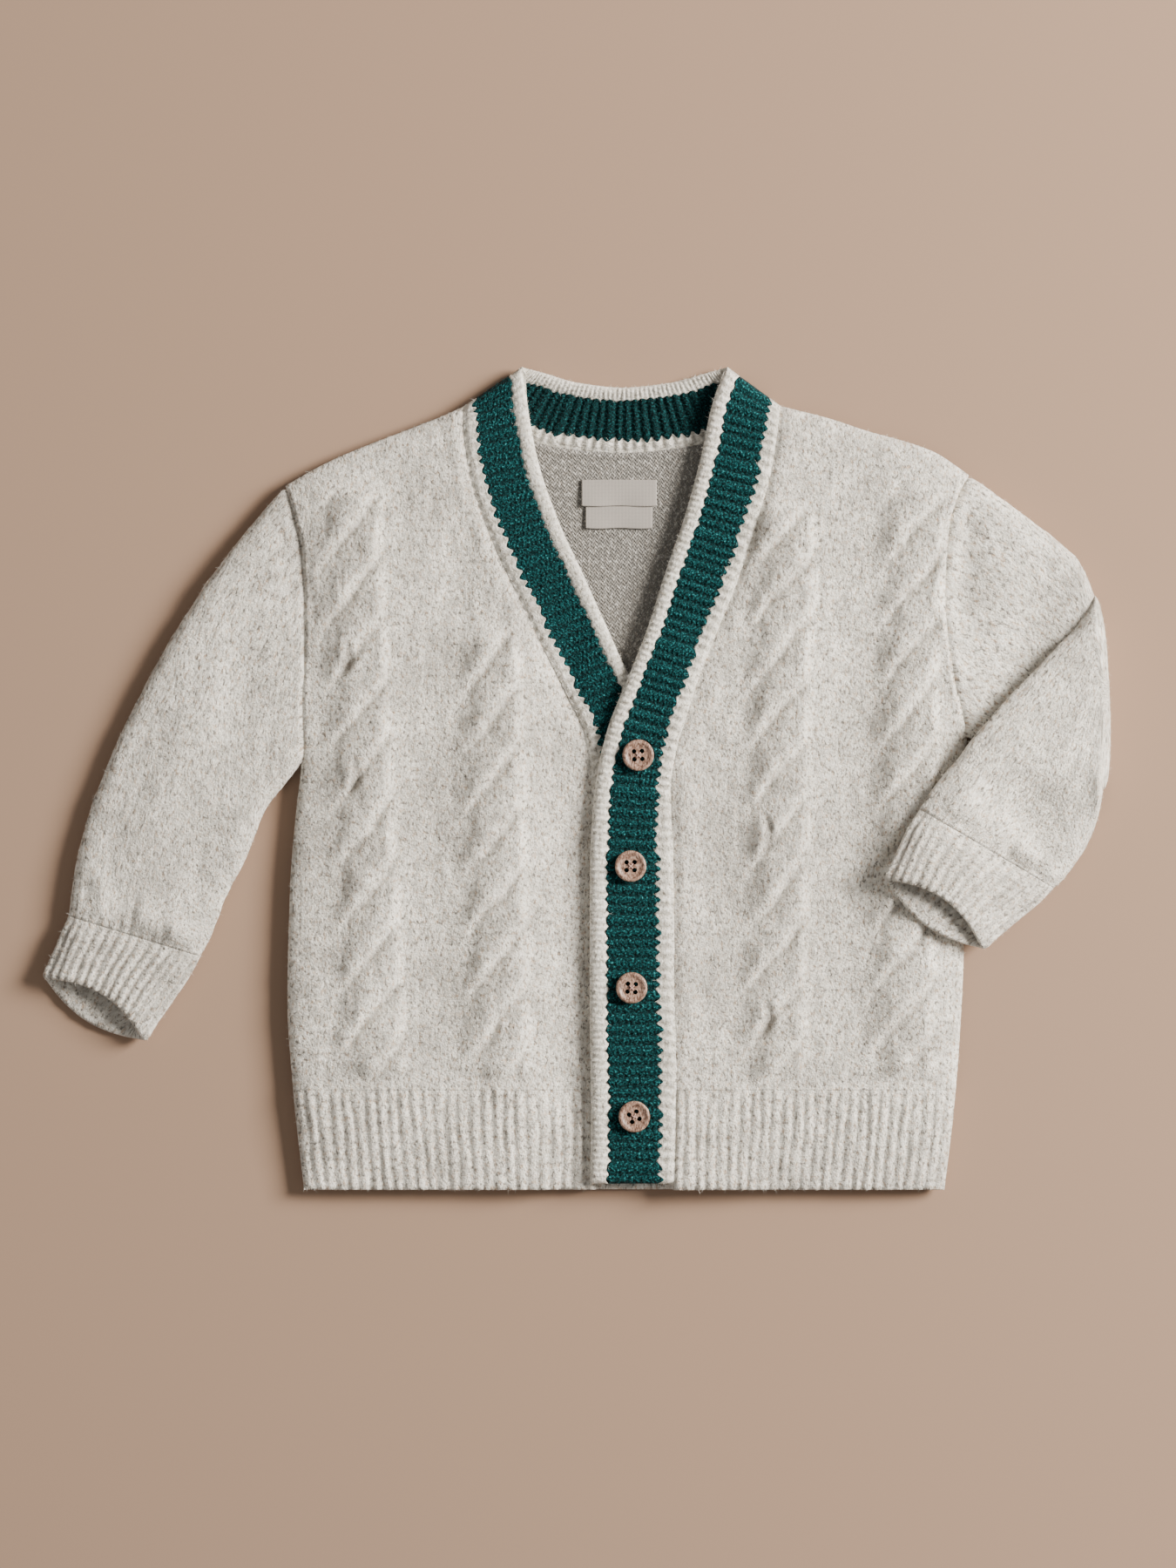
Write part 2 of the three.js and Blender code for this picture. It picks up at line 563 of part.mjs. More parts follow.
function frontPanel(front) {
  const right = front.sign < 0;
  const us = right ? FRONT_COLUMNS : FRONT_COLUMNS.map((u) => 1 - u).reverse();
  const share = (u) => (right ? u : 1 - u);
  const last = us.length - 1;
  const fromSide = (i) => (right ? i : last - i);
  return wall({
    us,
    vs: FRONT_ROWS,
    keepU: range(us.length).filter((i) => fromSide(i) <= 4 || fromSide(i) % 5 === 4 || fromSide(i) === last),
    keepV: range(FRONT_ROWS.length).filter((i) => (i < 20 ? i % 7 === 0 : i % 2 === 0)),
    outer: (u, v) => {
      const [x, y] = frontPlan(front, share(u), v);
      return frontPoint(x, y, { dip: front.dip(x, y), relief: cableRelief(x, y) });
    },
    inner: (u, v) => {
      const [x, y] = frontPlan(front, share(u), v);
      return frontPoint(x, y, { inner: true, dip: front.dip(x, y) });
    },
  });
}

addPiece("front_right", frontPanel(FRONT_RIGHT), CREAM);
addPiece("front_left", frontPanel(FRONT_LEFT), CREAM);

// Back

const BACK_TOP_X = [
  TIP_RIGHT.x, -129.8, -126, -118, -90, NECK_RIGHT.x, -60, -52, -41, -30, -17, -2.5, 12, 25, 36.5, 47.5, 55.5,
  NECK_LEFT.x, 85, 117, 125, 129.2, TIP_LEFT.x,
];
const BACK_COLUMNS = BACK_TOP_X.map((x) => (x - TIP_RIGHT.x) / (TIP_LEFT.x - TIP_RIGHT.x));
const BACK_ROWS = [0, 0.2, 0.4, 0.56, 0.64, 0.72, 0.8, 0.88, 0.94, 0.975, 0.994, 1];
const neckSeam = through(BAND_NECK, "seamX", "seamY");

function backTopY(x) {
  if (x <= NECK_RIGHT.x) return shoulderRight(x);
  if (x >= NECK_LEFT.x) return shoulderLeft(x);
  return neckSeam(x) - GAP;
}

function backPlan(u, v) {
  const y = lerp(HEM_TOP_Y + GAP / 2, backTopY(lerp(TIP_RIGHT.x, TIP_LEFT.x, u)), v);
  const right = sideRight(Math.min(y, TIP_RIGHT.y));
  const left = sideLeft(Math.min(y, TIP_LEFT.y));
  const x = lerp(right, left, u);
  if (v > 0.999) return [x, y];
  if (u === 0 && y > UNDERARM_RIGHT_Y) return [x + 0.7 * GAP, y];
  if (u === 1 && y > UNDERARM_LEFT_Y) return [x - 0.7 * GAP, y];
  return [x, y];
}

addPiece(
  "back",
  facingOut(
    wall({
      us: BACK_COLUMNS,
      vs: BACK_ROWS,
      keepU: range(BACK_COLUMNS.length),
      keepV: range(BACK_ROWS.length),
      outer: (u, v) => backPoint(...backPlan(u, v)),
      inner: (u, v) => backPoint(...backPlan(u, v), { inner: true }),
    }),
  ),
  CREAM,
);

// Hem ribs

const HEM_ROWS = [0, 0.5, 1];
const hemY = (v) => lerp(HEM_Y, HEM_TOP_Y - GAP / 2, v);

function hemPanel(front) {
  const right = front.sign < 0;
  const bounds = (y) => [front.side(y), front.seam(y) + (front.sign * GAP) / 2];
  const width = Math.abs(bounds(HEM_Y)[1] - bounds(HEM_Y)[0]);
  const ribs = Math.round(width / RIB_PITCH);
  const start = SIDE_STEPS.slice(0, 3).map((d) => d / width);
  const shares = [...start, ...steps(1 / ribs, 1, ribs * 3 - 3)];
  const us = right ? shares : shares.map((u) => 1 - u).reverse();
  const last = us.length - 1;
  const place = (u, v) => {
    const share = right ? u : 1 - u;
    const [from, to] = bounds(hemY(v));
    return { share, x: lerp(from, to, share), y: hemY(v) };
  };
  return wall({
    us,
    vs: HEM_ROWS,
    keepU: range(us.length).filter((i) => {
      const k = right ? i : last - i;
      return k <= 4 || k % 6 === 4 || k === last;
    }),
    keepV: [0, 2],
    outer: (u, v) => {
      const { share, x, y } = place(u, v);
      const relief = RIB_RISE * ribRelief(share * ribs, 1);
      return frontPoint(x, y, { dip: front.dip(x, y), relief });
    },
    inner: (u, v) => {
      const { x, y } = place(u, v);
      return frontPoint(x, y, { inner: true, dip: front.dip(x, y) });
    },
  });
}

addPiece("hem_right", hemPanel(FRONT_RIGHT), CREAM);
addPiece("hem_left", hemPanel(FRONT_LEFT), CREAM);

const HEM_BACK_COLUMNS = [0, 0.003, 0.01, 0.025, ...steps(0.05, 0.95, 6), 0.975, 0.99, 0.997, 1];
const hemBackPlan = (u, v) => [lerp(sideRight(hemY(v)), sideLeft(hemY(v)), u), hemY(v)];
addPiece(
  "hem_back",
  facingOut(
    wall({
      us: HEM_BACK_COLUMNS,
      vs: HEM_ROWS,
      keepU: range(HEM_BACK_COLUMNS.length),
      keepV: range(HEM_ROWS.length),
      outer: (u, v) => backPoint(...hemBackPlan(u, v)),
      inner: (u, v) => backPoint(...hemBackPlan(u, v), { inner: true }),
    }),
  ),
  CREAM,
);

// Sleeves and cuffs

// A place in a sleeve's section. q runs 0 to 3 from edge a to edge b, round the one edge in 0 to 1
// and round the other in 2 to 3.
function sectionPlace(q, width, roundWidth) {
  const r = Math.min(roundWidth, width / 2);
  const angle = (Math.PI / 2) * (q < 1 ? q : q > 2 ? 3 - q : 1);
  const [cos, sin] = [Math.cos(angle), Math.sin(angle)];
  const fromEdge = r * (1 - cos);
  const along = q < 1 ? fromEdge : q > 2 ? width - fromEdge : lerp(r, width - r, q - 1);
  return { along, cos: q > 2 ? -cos : cos, sin };
}

const overArm = through(OVER_ARM, "x", "z");
const besideBody = through(BESIDE_BODY, "x", "z");
function underForearm(x, y) {
  const level = lerp(besideBody(x), overArm(x), smooth((y + 20) / 32));
  return y < 45 ? level : level * roundEdge(inFromEdge(x, y).depth, SLEEVE_UNDER_ROUND).sin;
}

// A point of a sleeve. Its front layer faces up before the elbow's fold, and down after it.
function sleevePoint(sleeve, { q, layer, rib }, s, inner) {
  const { curves, armhole, sign, cuffRow, turnedRow } = sleeve;
  const a = { x: curves.ax(s), y: curves.ay(s) };
  const b = { x: curves.bx(s), y: curves.by(s) };
  const width = Math.hypot(b.x - a.x, b.y - a.y);
  const [ux, uy] = [(b.x - a.x) / width, (b.y - a.y) / width];
  const [edge, top, turn] = [curves.edge(s), curves.top(s), curves.turn(s)];
  const side = layer === "front" ? 1 : -1;
  const facesUp = (side > 0) === (turn < 0.5);
  const up = side > 0 ? 1 - turn : turn;
  const place = sectionPlace(q, width, lerp(SLEEVE_UNDER_ROUND, SLEEVE_TOP_ROUND, up));
  const share = place.along / width;

  // The first rows follow the armhole, and the cuff's last rows its mouth.
  const firstX = lerp(curves.ax(0), curves.bx(0), share);
  const firstY = lerp(curves.ay(0), curves.by(0), share);
  const bow = (armhole(firstY) - firstX) * (1 - smooth(s / 1.6));
  const seamGap = s < 0.01 ? sign * GAP : 0;
  const lip = (facesUp ? -MOUTH_RECESS : MOUTH_BULGE) * Math.sin(Math.PI * share) * smooth(s - cuffRow);
  const along = place.along + (inner ? WALL * place.cos : -rib * place.cos);
  let x = a.x + ux * along + bow + seamGap + uy * lip;
  let y = a.y + uy * along - ux * lip;

  // Height from the section's middle, towards this layer's side
  const fold = facesUp ? foldHeight(x, y) : 0;
  const depth = lerp(edge, top - edge + fold, up) + (inner ? -WALL : rib);
  const angle = Math.PI * turn;
  const radius = ELBOW_GAP + edge * place.sin;
  const laidOn = turn < 1 ? 0 : lerp(2 * radius, underForearm(x, y), smooth(s - turnedRow));
  const turning = turn < 1 ? radius * (1 - Math.cos(angle)) : 0;
  let z = edge + laidOn + turning + side * depth * place.sin * Math.cos(angle);
  const out = (radius - side * depth * place.sin) * Math.sin(angle);
  x -= uy * out;
  y += ux * out;

  // At the armhole its height is the body's.
  if (s < 0.9) {
    const into = inFromEdge(x, y).depth;
    const wallSide = side * (inner ? WALL : 0) * place.sin;
    const onFront = SEAM_Z + (FRONT_RISE + fold) * roundEdge(into, FRONT_ROUND).sin;
    const onBack = SEAM_Z * (1 - roundEdge(into, BACK_ROUND).sin);
    z = lerp((side > 0 ? onFront : onBack) - wallSide, z, smooth(s / 0.9));
  }
  return [x, y, z];
}

const SECTION_QS = [0, 0.38, 0.72, 1, 1.2, 1.4, 1.6, 1.8, 2, 2.28, 2.62];

// A ring from the places on its two layers.
const ringOf = (front, back) => [
  ...front.map((p) => ({ ...p, layer: "front" })),
  ...back.map((p) => ({ ...p, q: 3 - p.q, layer: "back" })),
];
const plainLayer = SECTION_QS.map((q) => ({ q, rib: 0 }));

// One layer of a cuff with three points to each rib.
function ribbedLayer(ribs) {
  const fine = steps(0, 3, 90).map((q) => {
    const { along } = sectionPlace(q, 48, SLEEVE_TOP_ROUND);
    const atEdges = 2.5 * (q < 1 ? q : q > 2 ? q - 1 : 1);
    return { q, at: along + atEdges };
  });
  const qAt = through(fine, "at", "q");
  return range(ribs * 3).map((i) => ({
    q: qAt((fine.at(-1).at * i) / (ribs * 3)),
    rib: RIB_RISE * ribRelief(i, 3),
  }));
}

function sleevePieces(name, table, armhole, sign) {
  const curves = rowCurves(table);
  const cuffRow = table.length - 2;
  const turnedRow = table.findIndex((r) => r.turn === 1);
  const sleeve = { curves, armhole, sign, cuffRow, turnedRow };
  const folded = turnedRow > 0;
  const outer = (at, s) => sleevePoint(sleeve, at, s, false);
  const inner = (at, s) => sleevePoint(sleeve, at, s, true);
  const seam = 0.007;
  const end = cuffRow - seam;
  const bend = steps(turnedRow - 1, turnedRow, 7);
  const outerRows = folded
    ? [...steps(0, turnedRow - 1, 5).slice(0, -1), ...bend, ...steps(turnedRow, end, 10).slice(1)]
    : steps(0, end, 12);
  const innerRows = folded
    ? [...steps(0, turnedRow - 1, 3).slice(0, -1), ...bend, ...steps(turnedRow, end, 5).slice(1)]
    : steps(0, end, 6);
  const ribbed = ribbedLayer(12);
  addPiece(
    "sleeve_" + name,
    facingOut(tube({ around: ringOf(plainLayer, plainLayer), outerRows, innerRows, outer, inner })),
    CREAM,
  );
  addPiece(
    "cuff_" + name,
    facingOut(
      tube({
        around: folded ? ringOf(plainLayer, ribbed) : ringOf(ribbed, plainLayer),
        outerRows: steps(cuffRow + seam, cuffRow + 1, 2),
        innerRows: [cuffRow + seam, cuffRow + 1],
        outer,
        inner,
      }),
    ),
    CREAM,
  );
}

sleevePieces("right", SLEEVE_RIGHT, sideRight, -1);
sleevePieces("left", SLEEVE_LEFT, sideLeft, 1);

// Bands, with their edging and tipping

// A point of a band's plan: across 0 at the free edge and 1 at the seam, s the row.
function bandPlan(c, across, s) {
  return [lerp(c.freeX(s), c.seamX(s), across), lerp(c.freeY(s), c.seamY(s), across)];
}

// Rows at equal distances along a band's middle, and a few more close to the shoulder seams, where the
// wall turns over.
const TURN_ROWS = [1, 2.6, 5]; // mm from the seam
function bandRows(c, last, count, seamAtStart) {
  let at = 0;
  let before = bandPlan(c, 0.5, 0);
  const table = steps(0, last, 600).map((s) => {
    const here = bandPlan(c, 0.5, s);
    at += Math.hypot(here[0] - before[0], here[1] - before[1]);
    before = here;
    return { at, s };
  });
  const row = through(table, "at", "s");
  const places = steps(0, at, count);
  if (at / count > TURN_ROWS.at(-1)) {
    places.push(...TURN_ROWS.map((d) => at - d));
    if (seamAtStart) places.push(...TURN_ROWS);
  }
  places.sort((a, b) => a - b);
  return places.map((d) => ({ s: clamp(row(d), 0, last), share: d / at }));
}

// The strips across a band: where each starts and ends, its columns, and its rows to a rib
const SEAM_SHARE = 0.0085;
const STRIPS = [
  { name: "edging", from: 0, to: EDGING_SHARE - SEAM_SHARE, columns: 3, perRib: 0.5, material: TIP_CREAM },
  {
    name: "band",
    from: EDGING_SHARE + SEAM_SHARE,
    to: GREEN_SHARE - SEAM_SHARE,
    columns: 1,
    perRib: 2,
    material: GREEN,
  },
  {
    name: "tipping",
    from: GREEN_SHARE + SEAM_SHARE,
    to: 1 - SEAM_SHARE,
    columns: 1,
    perRib: 2,
    material: TIP_CREAM,
  },
];

function bandStrips(name, table, ribs, pointOf) {
  const c = rowCurves(table);
  for (const strip of STRIPS) {
    const rows = bandRows(c, table.length - 1, ribs * strip.perRib, name === "neck");
    const us = steps(strip.from, strip.to, strip.columns);
    const relief = (u, row) =>
      strip.name === "edging"
        ? 0.7 * Math.sin((Math.PI * u) / EDGING_SHARE)
        : BAND_RIB_RISE * ribRelief(row.share * ribs, 1);
    addPiece(
      strip.name + "_" + name,
      facingOut(
        wall({
          us,
          vs: rows,
          keepU: [0, strip.columns],
          keepV: keptIndices(rows, strip.perRib < 1 ? 1 : 4, 4),
          outer: (u, row) => pointOf(...bandPlan(c, u, row.s), false, relief(u, row)),
          inner: (u, row) => pointOf(...bandPlan(c, u, row.s), true, 0),
        }),
      ),
      strip.material,
    );
  }
}

bandStrips("right", BAND_RIGHT, 76, (x, y, inner, relief) =>
  frontPoint(x, y, { inner, relief, dip: underDip(x, y) }),
);
bandStrips("left", BAND_LEFT, 76, (x, y, inner, relief) => frontPoint(x, y, { inner, relief }));
bandStrips("neck", BAND_NECK, 30, (x, y, inner, relief) => backPoint(x, y, { inner: !inner, relief }));

// Buttons: turned discs with a raised rim and four holes, resting on the upper band

function buttonSolid() {
  const r = BUTTON.diameter / 2;
  const profile = [
    [0, 0],
    [r * 0.82, 0],
    [r, BUTTON.thick * 0.5],
    [r - 0.45, BUTTON.thick],
    [r - BUTTON.rim, BUTTON.thick],
    [r - BUTTON.rim - 0.7, BUTTON.thick - BUTTON.dish],
    [0, BUTTON.thick - BUTTON.dish],
  ].map(([x, y]) => new THREE.Vector2(x, y));
  let solid = solidOf(new THREE.LatheGeometry(profile, 20));
  for (const [i, j] of [[-1, -1], [1, -1], [1, 1], [-1, 1]]) {
    const hole = new THREE.CylinderGeometry(BUTTON.hole / 2, BUTTON.hole / 2, 10, 6);
    hole.translate((i * BUTTON.holeSpacing) / 2, 0, (j * BUTTON.holeSpacing) / 2);
    solid = solid.subtract(solidOf(hole));
  }
  const mesh = solid.getMesh();
  const g = new THREE.BufferGeometry();
  g.setAttribute("position", new THREE.BufferAttribute(new Float32Array(mesh.vertProperties), 3));
  g.setIndex([...mesh.triVerts]);
  return g.rotateX(Math.PI / 2);
}

function solidOf(geometry) {
  const flat = geometry.index ? geometry.toNonIndexed() : geometry;
  const p = flat.getAttribute("position");
  const found = new Map();
  const vertices = [];
  const triangles = [];
  for (let i = 0; i < p.count; i++) {
    const point = [p.getX(i), p.getY(i), p.getZ(i)].map((x) => Math.round(x * 1e5) / 1e5 + 0);
    const key = point.join();
    if (!found.has(key)) {
      found.set(key, vertices.length / 3);
      vertices.push(...point);
    }
    triangles.push(found.get(key));
  }
  const triVerts = [];
  for (let i = 0; i < triangles.length; i += 3) {
    const [a, b, c] = triangles.slice(i, i + 3);
    if (a !== b && b !== c && a !== c) triVerts.push(a, b, c);
  }
  const made = new wasm.Manifold(
    new wasm.Mesh({
      numProp: 3,
      vertProperties: new Float32Array(vertices),
      triVerts: new Uint32Array(triVerts),
    }),
  );
  return made;
}

for (const b of BUTTONS) {
  const mesh = addPiece(b.name, buttonSolid(), WOOD);
  const r = BUTTON.diameter / 2;
  const under = steps(0, 2 * Math.PI, 24).flatMap((a) =>
    [0.5, 1].map((k) => frontPoint(b.x + k * r * Math.cos(a), b.y + k * r * Math.sin(a))[2]),
  );
  mesh.position.set(b.x, b.y, Math.max(...under) + BAND_RIB_RISE + GAP);
  mesh.rotation.z = b.turn;
}

// Labels: woven tapes sewn to the inside of the back, below the neck

for (const l of LABELS) {
  const g = new THREE.BoxGeometry(l.x1 - l.x0, l.y1 - l.y0, LABEL_THICK);
  const mesh = addPiece(l.name, g, TAPE);
  mesh.position.set((l.x0 + l.x1) / 2, (l.y0 + l.y1) / 2, WALL + GAP + LABEL_THICK / 2);
}

export default cardigan;
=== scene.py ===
"""A baby's V-neck cardigan in thick brushed wool, buttoned up and laid flat on its back.

Places and sizes are in millimetres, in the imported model's frame: +X to the wearer's left, +Y from hem
to neck, +Z up off the surface that the garment lies on. Each mesh turns them to metres."""

import bpy
import numpy as np
from mathutils import Matrix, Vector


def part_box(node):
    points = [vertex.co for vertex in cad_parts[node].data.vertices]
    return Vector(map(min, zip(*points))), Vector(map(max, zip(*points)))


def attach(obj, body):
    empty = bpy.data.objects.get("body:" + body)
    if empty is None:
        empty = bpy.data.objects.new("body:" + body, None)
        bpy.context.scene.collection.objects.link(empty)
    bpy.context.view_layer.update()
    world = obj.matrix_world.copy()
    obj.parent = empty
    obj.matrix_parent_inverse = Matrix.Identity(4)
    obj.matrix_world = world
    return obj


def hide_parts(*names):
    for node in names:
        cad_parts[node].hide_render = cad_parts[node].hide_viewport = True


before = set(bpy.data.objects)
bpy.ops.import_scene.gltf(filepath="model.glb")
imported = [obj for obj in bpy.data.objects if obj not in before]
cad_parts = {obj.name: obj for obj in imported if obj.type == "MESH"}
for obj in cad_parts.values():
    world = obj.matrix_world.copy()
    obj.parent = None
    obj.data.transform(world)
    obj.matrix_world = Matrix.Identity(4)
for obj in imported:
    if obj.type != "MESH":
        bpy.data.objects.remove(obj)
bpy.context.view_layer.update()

# Fronts
# Two panels of stocking stitch with two cables each, knitted flat in thick wool, and joined to the back
# at the sides and shoulders. Their cables cross on the same rows of knitting, and twist the same way on
# both fronts.

# The garment's lines: its sides with their armholes, its shoulders and the front bands' two edges
WALL = 2.6  # thickness of the felted knit
SEAM_Z = 4.4  # height of the side and shoulder seams above the surface
FRONT_RISE = 4.4  # height of a front above its seams
FRONT_ROUND = 13  # width over which a front rounds down to its seams
BACK_ROUND = 8  # and the back up to them
HEM_TOP_Y = -117
HEM_Y = -155
BAND_END_Y = -152.5

TIP_RIGHT = (-131, 114)
TIP_LEFT = (130.3, 118)
NECK_RIGHT = (-63, 144.2)
NECK_LEFT = (58.5, 144.3)
COLLAR_RIGHT = (-40.7, 159.3)
COLLAR_LEFT = (38, 159.3)

SIDE_RIGHT = dict(
    y=(-156, -117, -83, -40, -8, 8, 30, 60, 85, 102, TIP_RIGHT[1]),
    x=(-123.7, -128, -130.2, -129.2, -126.6, -124.8, -124.6, -123.6, -124.4, -127.7, TIP_RIGHT[0]),
)
SIDE_LEFT = dict(
    y=(-156, -125, -95, -60, -10, 17.5, 34, 52, 71, 92, 108, TIP_LEFT[1]),
    x=(120.7, 124.4, 126.8, 128.4, 129.2, 129.4, 126, 122.6, 121, 122.2, 126.2, TIP_LEFT[0]),
)
UNDERARM_RIGHT_Y = 8
UNDERARM_LEFT_Y = 17.5
SHOULDER_RIGHT = dict(x=(-131, -115.3, -99.5, -73.7, -63), y=(114, 122.7, 129.5, 139.4, 144.2))
SHOULDER_LEFT = dict(x=(58.5, 76.7, 91.6, 108.6, 117, 130.3), y=(144.3, 139.7, 134.8, 130, 126.8, 118))

# The front bands' free edge and seam line at matching rows, from hem to shoulder
BAND_RIGHT = dict(
    free_x=(18.5, 18.5, 18.5, 18.5, 16.4, 8.5, -1.3, -8.3, -18, -26.3, -34.6, -38.6, COLLAR_RIGHT[0]),
    free_y=(BAND_END_Y, -125, -78, -30, 4, 27, 45, 60.3, 81.7, 99.7, 124.1, 145.4, COLLAR_RIGHT[1]),
    seam_x=(-13.5, -13.5, -13.5, -13.5, -14.2, -16.5, -23.8, -32, -42.4, -51.4, -60.6, -63, NECK_RIGHT[0]),
    seam_y=(BAND_END_Y, -125, -78, -32, -2, 18, 34.5, 51, 72.3, 91.5, 117.5, 136.5, NECK_RIGHT[1]),
)
BAND_LEFT = dict(
    free_x=(-14.5, -14.2, -14.7, -14.5, -12.4, -8.3, 0.5, 7.7, 14.6, 21.2, 27.6, 32.1, COLLAR_LEFT[0]),
    free_y=(BAND_END_Y, -125, -78, -30, 0, 19.5, 42, 60.4, 82, 101, 124, 145, COLLAR_LEFT[1]),
    seam_x=(18.3, 18.9, 17.9, 17.2, 16.9, 18.8, 24.8, 31.6, 40.2, 47.1, 54.6, 57.8, NECK_LEFT[0]),
    seam_y=(BAND_END_Y, -125, -78, -31, -3, 12.5, 34, 52.5, 73.5, 93, 117, 136.5, NECK_LEFT[1]),
)

# The sleeves, row by row from the armhole: edges a and b, the height of those edges and of the top
# above what the sleeve lies on, and how far it has been turned over at the elbow
SLEEVE_RIGHT = dict(
    ax=(TIP_RIGHT[0], -147, -163, -181, -199, -209.5, -214.3, -224),
    ay=(TIP_RIGHT[1], 95.2, 73.5, 45, 8, -23, -50.3, -73.7),
    bx=(-124.8, -132, -139, -145.3, -153.3, -158.9, -163, -184.3),
    by=(UNDERARM_RIGHT_Y, -1.5, -11, -27, -43, -57, -66, -98.5),
    edge=(4.4, 4.4, 4.4, 4.4, 4.4, 4.3, 4.2, 4.2),
    top=(9, 9, 9, 8.8, 8.6, 8.6, 8.4, 8.2),
    turn=(0, 0, 0, 0, 0, 0, 0, 0),
)
SLEEVE_LEFT = dict(
    ax=(TIP_LEFT[0], 145, 159, 172, 178.3, 178.3, 171, 160.5, 144.7, 128, 110.5, 97.3),
    ay=(TIP_LEFT[1], 107.4, 96.5, 85.5, 72, 72, 60.5, 49.5, 32.7, 13.5, -9.5, -35.7),
    bx=(129.4, 144, 160, 172, 181.5, 181.5, 180, 176.8, 172, 167.5, 163, 135.7),
    by=(UNDERARM_LEFT_Y, 14.5, 9, 4, -2, -2, -11, -20.5, -29, -35.5, -40, -63.3),
    edge=(4.4, 4.2, 3.9, 3.7, 3.5, 3.5, 3.7, 4, 4.2, 4.2, 4.2, 4.2),
    top=(9, 8.6, 7.8, 7.4, 7, 7, 7.6, 8.2, 8.8, 9, 8.8, 8.4),
    turn=(0, 0, 0, 0, 0, 1, 1, 1, 1, 1, 1, 1),
)
RIGHT_ARM_ROWS = 3  # to the row where a sleeve's edges leave the body's plan
LEFT_ARM_ROWS = 4


def smooth(t):
    """Rises from 0 to 1 with level ends: three t squared less two t cubed."""
    t = np.clip(t, 0, 1)
    return t * t * (3 - 2 * t)


def mix(a, b, t):
    """Goes evenly from a, where t is 0, to b, where t is 1."""
    return a + (b - a) * t


def bell(offset, half, power=2):
    """A soft peak: e to the power of minus the offset over its half width, squared or sharper."""
    return np.exp(-((offset / half) ** power))


def through(keys, values):
    """A curve through a table with no bulge beyond its rows: cubic pieces, whose slope at a row is the
    harmonic mean of the slopes on both sides, or level where those differ in sign."""
    k, v = np.array(keys, float), np.array(values, float)
    secant = np.diff(v) / np.diff(k)
    before, after = secant[:-1], secant[1:]
    same_way = before * after > 0
    harmonic = 2 * before * after / np.where(same_way, before + after, 1)
    slope = np.concatenate([secant[:1], np.where(same_way, harmonic, 0), secant[-1:]])

    def curve(at):
        at = np.clip(at, k[0], k[-1])
        i = np.clip(np.searchsorted(k, at) - 1, 0, len(k) - 2)
        span = k[i + 1] - k[i]
        t = (at - k[i]) / span
        rise = (3 - 2 * t) * t * t
        start = t * (1 - t) ** 2 * span * slope[i]
        end = t * t * (t - 1) * span * slope[i + 1]
        return v[i] + rise * (v[i + 1] - v[i]) + start + end

    return curve


def row_curves(table):
    """Each column of a table as a curve over the row number."""
    return {name: through(range(len(column)), column) for name, column in table.items()}


side_right = through(SIDE_RIGHT["y"], SIDE_RIGHT["x"])
side_left = through(SIDE_LEFT["y"], SIDE_LEFT["x"])
shoulder_right = through(SHOULDER_RIGHT["x"], SHOULDER_RIGHT["y"])
shoulder_left = through(SHOULDER_LEFT["x"], SHOULDER_LEFT["y"])
sleeve_right = row_curves(SLEEVE_RIGHT)
sleeve_left = row_curves(SLEEVE_LEFT)


def closed_lines():
    """The garment's closed edges as lines of points, each with the garment on its left hand."""
    down = np.linspace(UNDERARM_RIGHT_Y, HEM_Y - 1, 61)
    up = np.linspace(HEM_Y - 1, UNDERARM_LEFT_Y, 61)
    over_left = np.linspace(TIP_LEFT[0], NECK_LEFT[0], 31)[1:]
    over_right = np.linspace(NECK_RIGHT[0], TIP_RIGHT[0], 31)[:-1]

    def arm(curves, edge, last):
        """Points along one edge of a sleeve, from the armhole to its last row."""
        rows = np.linspace(0, last, 13)
        return np.stack([curves[edge + "x"](rows), curves[edge + "y"](rows)], 1)

    shoulder_line_left = np.stack([over_left, shoulder_left(over_left)], 1)
    shoulder_line_right = np.stack([over_right, shoulder_right(over_right)], 1)
    return [
        np.stack([side_right(down), down], 1),
        np.stack([side_left(up), up], 1),
        np.vstack([arm(sleeve_left, "a", LEFT_ARM_ROWS)[::-1], shoulder_line_left, [COLLAR_LEFT]]),
        np.vstack([[COLLAR_RIGHT], shoulder_line_right, arm(sleeve_right, "a", RIGHT_ARM_ROWS)]),
        arm(sleeve_right, "b", RIGHT_ARM_ROWS)[::-1],
        arm(sleeve_left, "b", LEFT_ARM_ROWS),
    ]


ON_EDGE = 0.4  # so near an edge, a point may lie outside it, and the edge's own direction is used


def from_edge(x, y):
    """Depth of each point from the nearest closed edge, and the direction from that edge inwards: the
    least of the distances to the edges' short straight stretches."""
    x, y = np.broadcast_arrays(np.asarray(x, float), np.asarray(y, float))
    best = np.full(x.shape, np.inf)
    depth, gx, gy = np.zeros(x.shape), np.zeros(x.shape), np.zeros(x.shape)
    for line in closed_lines():
        for (x0, y0), (x1, y1) in zip(line[:-1], line[1:]):
            ux, uy = x1 - x0, y1 - y0
            long = np.hypot(ux, uy)
            t = np.clip(((x - x0) * ux + (y - y0) * uy) / long**2, 0, 1)
            px, py = x - x0 - ux * t, y - y0 - uy * t
            d = np.hypot(px, py)
            inside = (-uy * px + ux * py) / long
            near = d < ON_EDGE
            closer = d < best
            safe = np.maximum(d, 1e-6)
            best = np.where(closer, d, best)
            depth = np.where(closer, np.where(near, np.maximum(inside, 0), d), depth)
            gx = np.where(closer, np.where(near, -uy / long, px / safe), gx)
            gy = np.where(closer, np.where(near, ux / long, py / safe), gy)
    return depth, gx, gy


